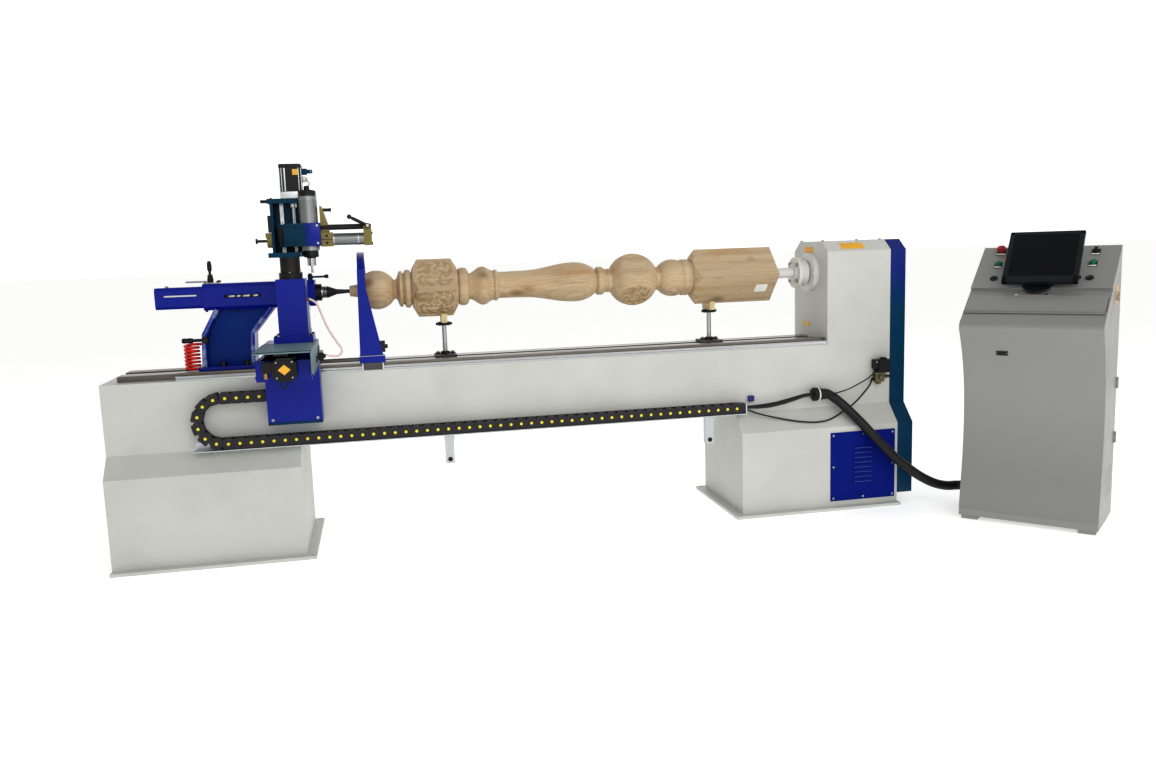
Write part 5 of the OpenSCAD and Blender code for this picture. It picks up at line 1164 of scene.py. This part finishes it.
class LATHE_OT_column(bpy.types.Operator):
    """Details of the cross slide and its column, of the head's frame and of its motor"""
    bl_idname = "lathe.column"
    bl_label = "Column details"

    def execute(self, context):
        form = Form("column_trim")
        form.box((-0.9342, -0.27, 0.984), (-0.929, -0.256, 1.106), ALUMINIUM, 0.001)
        form.cap_screws(places(-0.929, -0.263, (1.0, 1.09)), RIGHT, 0.0035, 0.002, DARK)
        form.cap_screws(places((-1.067, -0.925), (-0.356, -0.236), 0.9831), UP, 0.006, 0.005, DARK)
        # Swivel bolts round the flange
        swivel = [(-0.994 + x, -0.295 + y, 1.2458) for x, y in circle(0.0445, 6, 30)]
        form.cap_screws(swivel, UP, 0.0032, 0.004, ZINC)
        # Turned-down front rim of the hood, and its edge screws
        form.box((-1.12, -0.736, 0.948), (-0.904, -0.7345, 0.9563), "grey painted sheet", 0.0003)
        form.cap_screws(places((-1.112, -0.913), -0.73, 0.9562), UP, 0.004, 0.002, ZINC)
        # Fittings on the hood's right side: air inlet, cable gland, plug and their plate
        form.box((-0.9042, -0.33, 0.87), (-0.9012, -0.24, 0.93), DARK, 0.001)
        form.rod((-0.9015, -0.258, 0.892), (-0.892, -0.258, 0.892), 0.009, BRASS, 6)
        form.rod((-0.9015, -0.3, 0.905), (-0.884, -0.3, 0.905), 0.01, ZINC, 6)
        form.rod((-0.9042, -0.355, 0.893), (-0.88, -0.355, 0.893), 0.016, DARK, 24, edge=0.002)
        form.rod((-0.88, -0.355, 0.893), (-0.872, -0.355, 0.893), 0.009, PLASTIC, 20, edge=0.002)
        form.box((-0.9042, -0.47, 0.876), (-0.9005, -0.438, 0.906), PLASTIC, 0.001)
        # Air line's inlet on the column
        form.rod((-0.9345, -0.29, 1.13), (-0.926, -0.29, 1.13), 0.0085, BRASS, 6)
        form.done("cross_slide")
        frame_form = Form("head_frame_trim")
        # Screws in the guide rails and on the lower plate
        rail_screws = [(x, -0.0715, 1.345 + 0.038 * k) for x in (-1.032, -0.938) for k in range(6)]
        frame_form.cap_screws(rail_screws, FRONT, 0.0032, 0.00051, DARK)
        frame_form.cap_screws(places((-1.066, -0.962), -0.11, 1.3298), UP, 0.005, 0.004, DARK)
        # Bearings at both ends of the screw, and screws on the upper plate
        frame_form.rod((-0.98, -0.102, 1.3298), (-0.98, -0.102, 1.3328), 0.015, BRIGHT, 32)
        frame_form.rod((-0.98, -0.102, 1.5235), (-0.98, -0.102, 1.5408), 0.0165, BRIGHT, 32)
        frame_form.cap_screws(places((-1.068, -0.946), -0.136, 1.5608), UP, 0.005, 0.004, DARK)
        # T-handle of the lock screw, and the black block above it
        frame_form.rod((-1.142, -0.114, 1.3935), (-1.142, -0.114, 1.3705), 0.0045, PLASTIC, 16, edge=0.001)
        frame_form.box((-1.0875, -0.142, 1.418), (-1.0735, -0.086, 1.49), BLACK, 0.002)
        frame_form.done("cross_slide")
        motor = Form("head_motor_trim")
        # Bright corner ribs, the black end cap, the plain amber plate and the plug with its short loop
        motor.box((-1.0262, -0.1482, 1.5612), (-0.9338, -0.0558, 1.59), ALUMINIUM, 0.002)
        for x, y in ((-1.0255, -0.137), (-1.0155, -0.1475), (-0.9445, -0.1475), (-0.9345, -0.137)):
            motor.box((x - 0.0016, y - 0.0016, 1.592), (x + 0.0016, y + 0.0016, 1.69), ALUMINIUM, 0.0004)
        motor.box((-1.006, -0.1482, 1.592), (-1.0, -0.1466, 1.69), ALUMINIUM, 0.0004)
        motor.box((-1.0262, -0.1482, 1.69), (-0.9338, -0.0558, 1.7068), PLASTIC, 0.004)
        motor.box((-0.97, -0.148, 1.66), (-0.946, -0.1466, 1.684), AMBER, 0.0003)
        motor.box((-0.9362, -0.1182, 1.662), (-0.9108, -0.0858, 1.6882), "teal enamel", 0.002)
        motor.rod((-0.9108, -0.102, 1.676), (-0.888, -0.102, 1.676), 0.0085, "teal enamel", 20, edge=0.001)
        motor.rod((-0.896, -0.102, 1.676), (-0.893, -0.102, 1.676), 0.0092, ALUMINIUM, 20)
        motor.box((-0.9345, -0.114, 1.63), (-0.918, -0.09, 1.656), ZINC, 0.002)
        motor.rod((-0.918, -0.102, 1.643), (-0.91, -0.102, 1.643), 0.0075, ALUMINIUM, 20)
        turns = [pi * k / 8 for k in range(9)]
        loop = [Vector((-0.916 + 0.012 * sin(t), -0.102, 1.64 - 0.03 * t / pi)) for t in turns]
        for start, end in zip(loop, loop[1:]):
            motor.rod(start, end, 0.0042, "pale air hose", 12, edge=0)
        motor.done("cross_slide")
        return {"FINISHED"}


class LATHE_OT_milling_head(bpy.types.Operator):
    """Screws, rings and caps of the milling spindle, its clamp and the side spindle"""
    bl_idname = "lathe.milling_head"
    bl_label = "Milling head details"

    def execute(self, context):
        form = Form("milling_head_trim")
        form.cap_screws(places((-1.0, -0.968), -0.2338, (1.37, 1.436)), FRONT, 0.005, 0.004, DARK)
        form.cap_screws(places(-0.877, -0.2346, (1.366, 1.44)), FRONT, 0.0055, 0.005, BRIGHT)
        form.box((-1.0445, -0.1424, 1.372), (-1.0225, -0.1386, 1.436), PLASTIC, 0.001)
        # The clamp's front right part is sprayed royal blue
        form.box((-0.925, -0.2348, 1.3535), (-0.8643, -0.2336, 1.4515), "royal blue enamel", 0.0002)
        form.box((-0.8654, -0.2348, 1.3535), (-0.8642, -0.1375, 1.4515), "royal blue enamel", 0.0002)
        # Saw cut that lets the clamp grip the spindle
        form.box((-0.9135, -0.2352, 1.3545), (-0.9105, -0.2325, 1.4505), PLASTIC, 0)
        # Turned rings, cable gland and cap of the milling spindle
        for z, radius in ((1.3365, 0.0396), (1.343, 0.0396), (1.558, 0.0396), (1.552, 0.0396)):
            form.turned([(radius - 0.0012, -0.0018), (radius, -0.001), (radius, 0.001),
                         (radius - 0.0012, 0.0018)], (SPINDLE_X, SPINDLE_Y, z), UP, BRIGHT, 64)
        form.turned([(0.03, 0), (0.03, 0.003), (0.012, 0.006), (0.012, 0.018), (0.009, 0.022)],
                    (SPINDLE_X, SPINDLE_Y, 1.5875), UP, PLASTIC, 40)
        form.turned([(0.0325, 0), (0.0325, 0.004), (0.029, 0.01)], (SPINDLE_X, SPINDLE_Y, 1.3162), DOWN,
                    BLACK, 48)
        # Side spindle: rings, cap screws, the saw cut of its clamp and the knob of its T-screw
        for x in (-0.812, -0.708):
            form.turned([(0.0255, -0.004), (0.0268, -0.003), (0.0268, 0.003), (0.0255, 0.004)],
                        (x, -0.19, 1.38), RIGHT, BRIGHT, 48)
        form.cap_screws(places(-0.84, -0.2222, (1.366, 1.396)), FRONT, 0.005, 0.004, DARK)
        form.box((-0.864, -0.2226, 1.3795), (-0.816, -0.2212, 1.3825), DARK, 0)
        form.cap_screws(places(-0.651, SPINDLE_Y, (1.358, 1.402)), RIGHT, 0.0055, 0.004, DARK)
        form.rod((-0.8235, -0.19, 1.506), (-0.816, -0.19, 1.506), 0.0085, PLASTIC, 20, edge=0.002)
        form.done("head_slide")
        lever = Form("side_lever_knob")
        turn = radians(-62)
        arm = Vector((-0.667, -0.226, 1.434))
        tip = arm + 0.084 * Vector((sin(turn), 0, cos(turn)))
        lever.rod(arm, arm + (tip - arm) * 0.86, 0.0074, BLACK, 20)
        lever.turned([(0.007, 0), (0.01, 0.004), (0.01, 0.016), (0.007, 0.02)], tip + Vector((0, 0.01, 0)),
                     FRONT, PLASTIC, 24)
        lever.cap_screw((-0.667, -0.2325, 1.434), FRONT, 0.007, 0.004, ZINC)
        lever.done("side_lever")
        bit = Form("cutter_collet")
        bit.turned([(0.018, 0), (0.0195, 0.002), (0.0195, 0.016), (0.0165, 0.026), (0.01, 0.032)],
                   (SPINDLE_X, SPINDLE_Y, 1.303), DOWN, BRIGHT, 6)
        bit.turned([(0.0196, 0), (0.0196, 0.0045)], (SPINDLE_X, SPINDLE_Y, 1.3025), UP, DARK, 40)
        bit.done("cutter")
        return {"FINISHED"}


class LATHE_OT_supports(bpy.types.Operator):
    """Clamp bars, handles and bolts of the two work supports"""
    bl_idname = "lathe.supports"
    bl_label = "Work support details"

    def execute(self, context):
        for name, x in SUPPORT_X.items():
            post = Form("support_clamp_" + name)
            post.box((x - 0.027, -0.0155, 0.97), (x + 0.027, 0.0155, 0.987), DARK, 0.002)
            for side in (-1, 1):
                post.rod((x + side * 0.026, -0.004, 0.9785), (x + side * 0.038, -0.004, 0.9785), 0.0062,
                         PLASTIC, 16, edge=0.0015)
            post.cap_screw((x, -0.0155, 0.9785), FRONT, 0.005, 0.004, ZINC)
            post.done("support_post_" + name)
        feet = Form("support_feet_bolts")
        for x in SUPPORT_X.values():
            for side in (-1, 1):
                feet.hex_screw((x + side * 0.034, 0, 0.8458), UP, 0.014, 0.006, ZINC)
            feet.turned([(0.0205, 0), (0.0212, 0.001), (0.0212, 0.005), (0.015, 0.0068), (0.0113, 0.0068)],
                        (x, 0, 0.844), UP, DARK, 40)
            feet.rod((x, -0.0205, 0.843), (x, -0.04, 0.843), 0.0045, PLASTIC, 16, edge=0.001)
        feet.done("machine_base")
        return {"FINISHED"}


def console_place(s=0.0, v=0.0, z=0.0):
    """Frame of the console: along its front, back and up."""
    corner = Matrix.Translation((*CONSOLE_SPOT, 0)) @ Matrix.Rotation(CONSOLE_TURN, 4, "Z")
    return corner @ Matrix.Translation((s, v, z))


def panel_place(s, p, n=0.0):
    """Frame on the console's sloping panel: along the front, up the slope and out of it."""
    slope = console_place(s, *PANEL_START) @ Matrix.Rotation(PANEL_SLOPE, 4, "X")
    return slope @ Matrix.Translation((0, p, n))


def slope_at(v):
    """Distance up the slope of a point of the upper panel above a given depth."""
    return (v - PANEL_START[0] + PANEL_STEP * sin(PANEL_SLOPE)) / cos(PANEL_SLOPE)


def switch_place(name, lift=0.0):
    """Frame of a button or the selector on the upper panel."""
    s, v = SWITCHES[name]
    return panel_place(s, slope_at(v), PANEL_STEP + lift)


class LATHE_OT_console(bpy.types.Operator):
    """Button bases, sockets, screen glass, plates, seams and tag of the console"""
    bl_idname = "lathe.console"
    bl_label = "Console details"

    def execute(self, context):
        # The front is one sheet rolled over the nose and down to the foot
        sheet = Form("console_front_sheet")
        nose = [(NOSE[0] + NOSE_RADIUS * cos(a), NOSE[1] + NOSE_RADIUS * sin(a))
                for a in (radians(132 + 12 * k) for k in range(8))]
        line = smooth_route(nose + FRONT_CURVE, 4)
        outer = [(v - 0.0013 * min(1, k / 6), z) for k, (v, z) in enumerate(line)]
        inner = [(v + 0.003, z) for v, z in reversed(line)]
        sheet.plate(outer + inner, 0.0, CONSOLE_WIDTH, CONSOLE, "YZ", console_place())
        sheet.done("machine_base", smooth=30)
        form = Form("console_trim")
        # Square button bases with bare white strips below them, and the round sockets
        for name, wide in (("estop", 0.021), ("start", 0.017), ("selector", 0.018), ("run", 0.017)):
            at = switch_place(name)
            form.box((-wide, -wide - 0.006, -0.0005), (wide, wide, 0.0022), PLASTIC, 0.001, at)
            form.box((-wide + 0.002, -wide - 0.0045, 0.002), (wide - 0.002, -wide + 0.0045, 0.0026),
                     LABEL, 0.0002, at)
        for s, v in ((0.087, 0.174), (0.432, 0.176), (0.482, 0.174)):
            form.turned([(0.0165, 0), (0.0165, 0.004), (0.015, 0.0052), (0.01, 0.0052), (0.0085, 0.0012),
                         (0, 0.0012)], ORIGIN, UP, PLASTIC, 40, panel_place(s, slope_at(v), PANEL_STEP))
        # Bare plate on the sloping front, seams round the lid and the tag under the stand
        front = console_place(0.172, -0.007, 0.782) @ Matrix.Rotation(radians(21.8), 4, "X")
        form.box((-0.0245, -0.004, -0.0105), (0.0245, -0.0025, 0.0105), DARK, 0.0005, front)
        form.cap_screws(places((-0.021, 0.021), -0.004, 0), FRONT, 0.0018, 0.0008, ZINC, front)
        lid = panel_place(0, 0)
        for low, high in (((0.006, 0.056), (0.008, 0.169)), ((0.572, 0.056), (0.574, 0.169)),
                          ((0.006, 0.1672), (0.574, 0.169)), ((0.013, 0.0535), (0.567, 0.055))):
            form.box((low[0], low[1], -0.0005), (high[0], high[1], 0.0004), PLASTIC, 0, lid)
        form.box((0.256, 0.17, -0.0005), (0.322, 0.184, 0.006), "brown paper tag", 0.001, lid)
        form.box((0.322, 0.17, -0.0005), (0.33, 0.188, 0.007), PLASTIC, 0.001, lid)
        form.box((0.196, 0.1715, -0.0005), (0.212, 0.18, 0.008), LABEL, 0.001, lid)
        # Dark hollow of the hose inlet, with its gland ring: a black solid, partly the gland ring and partly
        # painted shade in the opening
        form.turned([(0.029, 0), (0.029, 0.006), (0.024, 0.009)], ORIGIN, LEFT, PLASTIC,
                    40, console_place(0.0005, 0.23, 0.1))
        # Screws of the back
        for z in (0.12, 0.56, 1.0):
            for s in (0.03, 0.55):
                form.cap_screw(ORIGIN, BACK, 0.005, 0.003, ZINC, console_place(s, 0.363, z))
        form.done("machine_base")
        door = Form("console_door_trim")
        door.box((0.0002, -0.016, -0.043), (0.0016, 0.016, 0.041), AMBER, 0.0003,
                 console_place(0.58, 0.245, 1.028))
        door.rod((0.006, 0, 0), (0.01, 0, 0), 0.01, BRIGHT, 28, edge=0.0015,
                 at=console_place(0.58, 0.245, 1.015))
        door.done("console_door")
        grip = Form("keyboard_lid_trim")
        grip.box((0.2, 0.1605, 0.0116), (0.38, 0.1665, 0.015), CONSOLE, 0.001, lid)
        grip.done("keyboard_lid")
        tilt = console_place(0.294, 0.08, 1.093) @ Matrix.Rotation(radians(52), 4, "X")
        screen = Form("screen_front")
        # Screen glass in its recess, rounded rim and lower bar of the monitor
        screen.box((-0.1345, 0.0315, -0.0032), (0.1345, 0.2575, -0.0012), "dark screen glass", 0.0006, tilt)
        for low, high in (((-0.1545, -0.0005), (-0.134, 0.2755)), ((0.134, -0.0005), (0.1545, 0.2755)),
                          ((-0.1545, 0.257), (0.1545, 0.2755)), ((-0.1545, -0.0005), (0.1545, 0.032))):
            screen.box((low[0], low[1], -0.0225), (high[0], high[1], 0.0008), HOUSING, 0.0022, tilt)
        screen.box((-0.02, 0.013, 0.0006), (0.02, 0.019, 0.0012), DARK, 0.0002, tilt)
        screen.cap_screws(places((-0.0675, 0.0675), (0.07, 0.205), -0.0358), DOWN, 0.0035, 0.002, ZINC, tilt)
        for k in range(9):
            screen.box((-0.06, 0.085 + 0.012 * k, -0.0366), (0.06, 0.089 + 0.012 * k, -0.0355),
                       PLASTIC, 0, tilt)
        screen.done("monitor_screen")
        for name, colour, radius, height, travel in (("estop", "red", 0.0195, 0.016, 0.005),
                                                     ("start", "green", 0.0135, 0.009, 0.003),
                                                     ("run", "green", 0.0135, 0.009, 0.003)):
            cap = Form(name + "_cap")
            cap.turned([(radius * 0.9, 0.0), (radius, height * 0.35), (radius, height * 0.75),
                        (radius * 0.88, height * 1.02), (radius * 0.5, height * 1.16), (0, height * 1.22)],
                       ORIGIN, UP, colour + " button plastic", 48, switch_place(name, travel + CAP_BASE))
            cap.done(name + "_button")
        knob = Form("selector_knob")
        place = switch_place("selector")
        knob.turned([(0.0155, 0.0006), (0.0155, 0.0045), (0.0135, 0.0065)], ORIGIN, UP, PLASTIC, 40, place)
        knob.box((-0.0062, -0.0165, 0.005), (0.0062, 0.0165, 0.021), PLASTIC, 0.002, place)
        knob.box((-0.0008, 0.008, 0.0208), (0.0008, 0.0155, 0.0214), LABEL, 0, place)
        knob.done("selector_switch")
        stand = Form("stand_disc")
        stand.turned([(0.0655, 0), (0.0658, 0.003), (0.064, 0.0058), (0.03, 0.0095)], ORIGIN, UP,
                     HOUSING, 72, panel_place(0.281, slope_at(0.144), PANEL_STEP + 0.0003))
        stand.done("machine_base")
        return {"FINISHED"}


class LATHE_PT_panel(bpy.types.Panel):
    """Lists the steps in the sidebar"""
    bl_idname = "LATHE_PT_panel"
    bl_label = "Wood copy lathe"
    bl_space_type = "VIEW_3D"
    bl_region_type = "UI"
    bl_category = "Lathe"

    def draw(self, context):
        for step in STEPS:
            self.layout.operator(step.bl_idname)
        for group in (context.scene.lathe_finishes, context.scene.lathe_stage):
            for name in group.__annotations__:
                self.layout.prop(group, name)


STEPS = (LATHE_OT_stage, LATHE_OT_cords, LATHE_OT_finishes, LATHE_OT_energy_chain, LATHE_OT_turned_post,
         LATHE_OT_headstock, LATHE_OT_bed, LATHE_OT_tailstock, LATHE_OT_carriage, LATHE_OT_column,
         LATHE_OT_milling_head, LATHE_OT_supports, LATHE_OT_console)
CLASSES = (LatheFinishes, LatheStage, LATHE_PT_panel, *STEPS)


def register():
    for cls in CLASSES:
        bpy.utils.register_class(cls)
    bpy.types.Scene.lathe_finishes = PointerProperty(type=LatheFinishes)
    bpy.types.Scene.lathe_stage = PointerProperty(type=LatheStage)


def unregister():
    del bpy.types.Scene.lathe_stage
    del bpy.types.Scene.lathe_finishes
    for cls in reversed(CLASSES):
        bpy.utils.unregister_class(cls)


def main():
    """Makes the whole scene, one step after another."""
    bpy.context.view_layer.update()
    register()
    for step in STEPS:
        area, name = step.bl_idname.split(".")
        getattr(getattr(bpy.ops, area), name)()


if __name__ == "__main__":
    main()
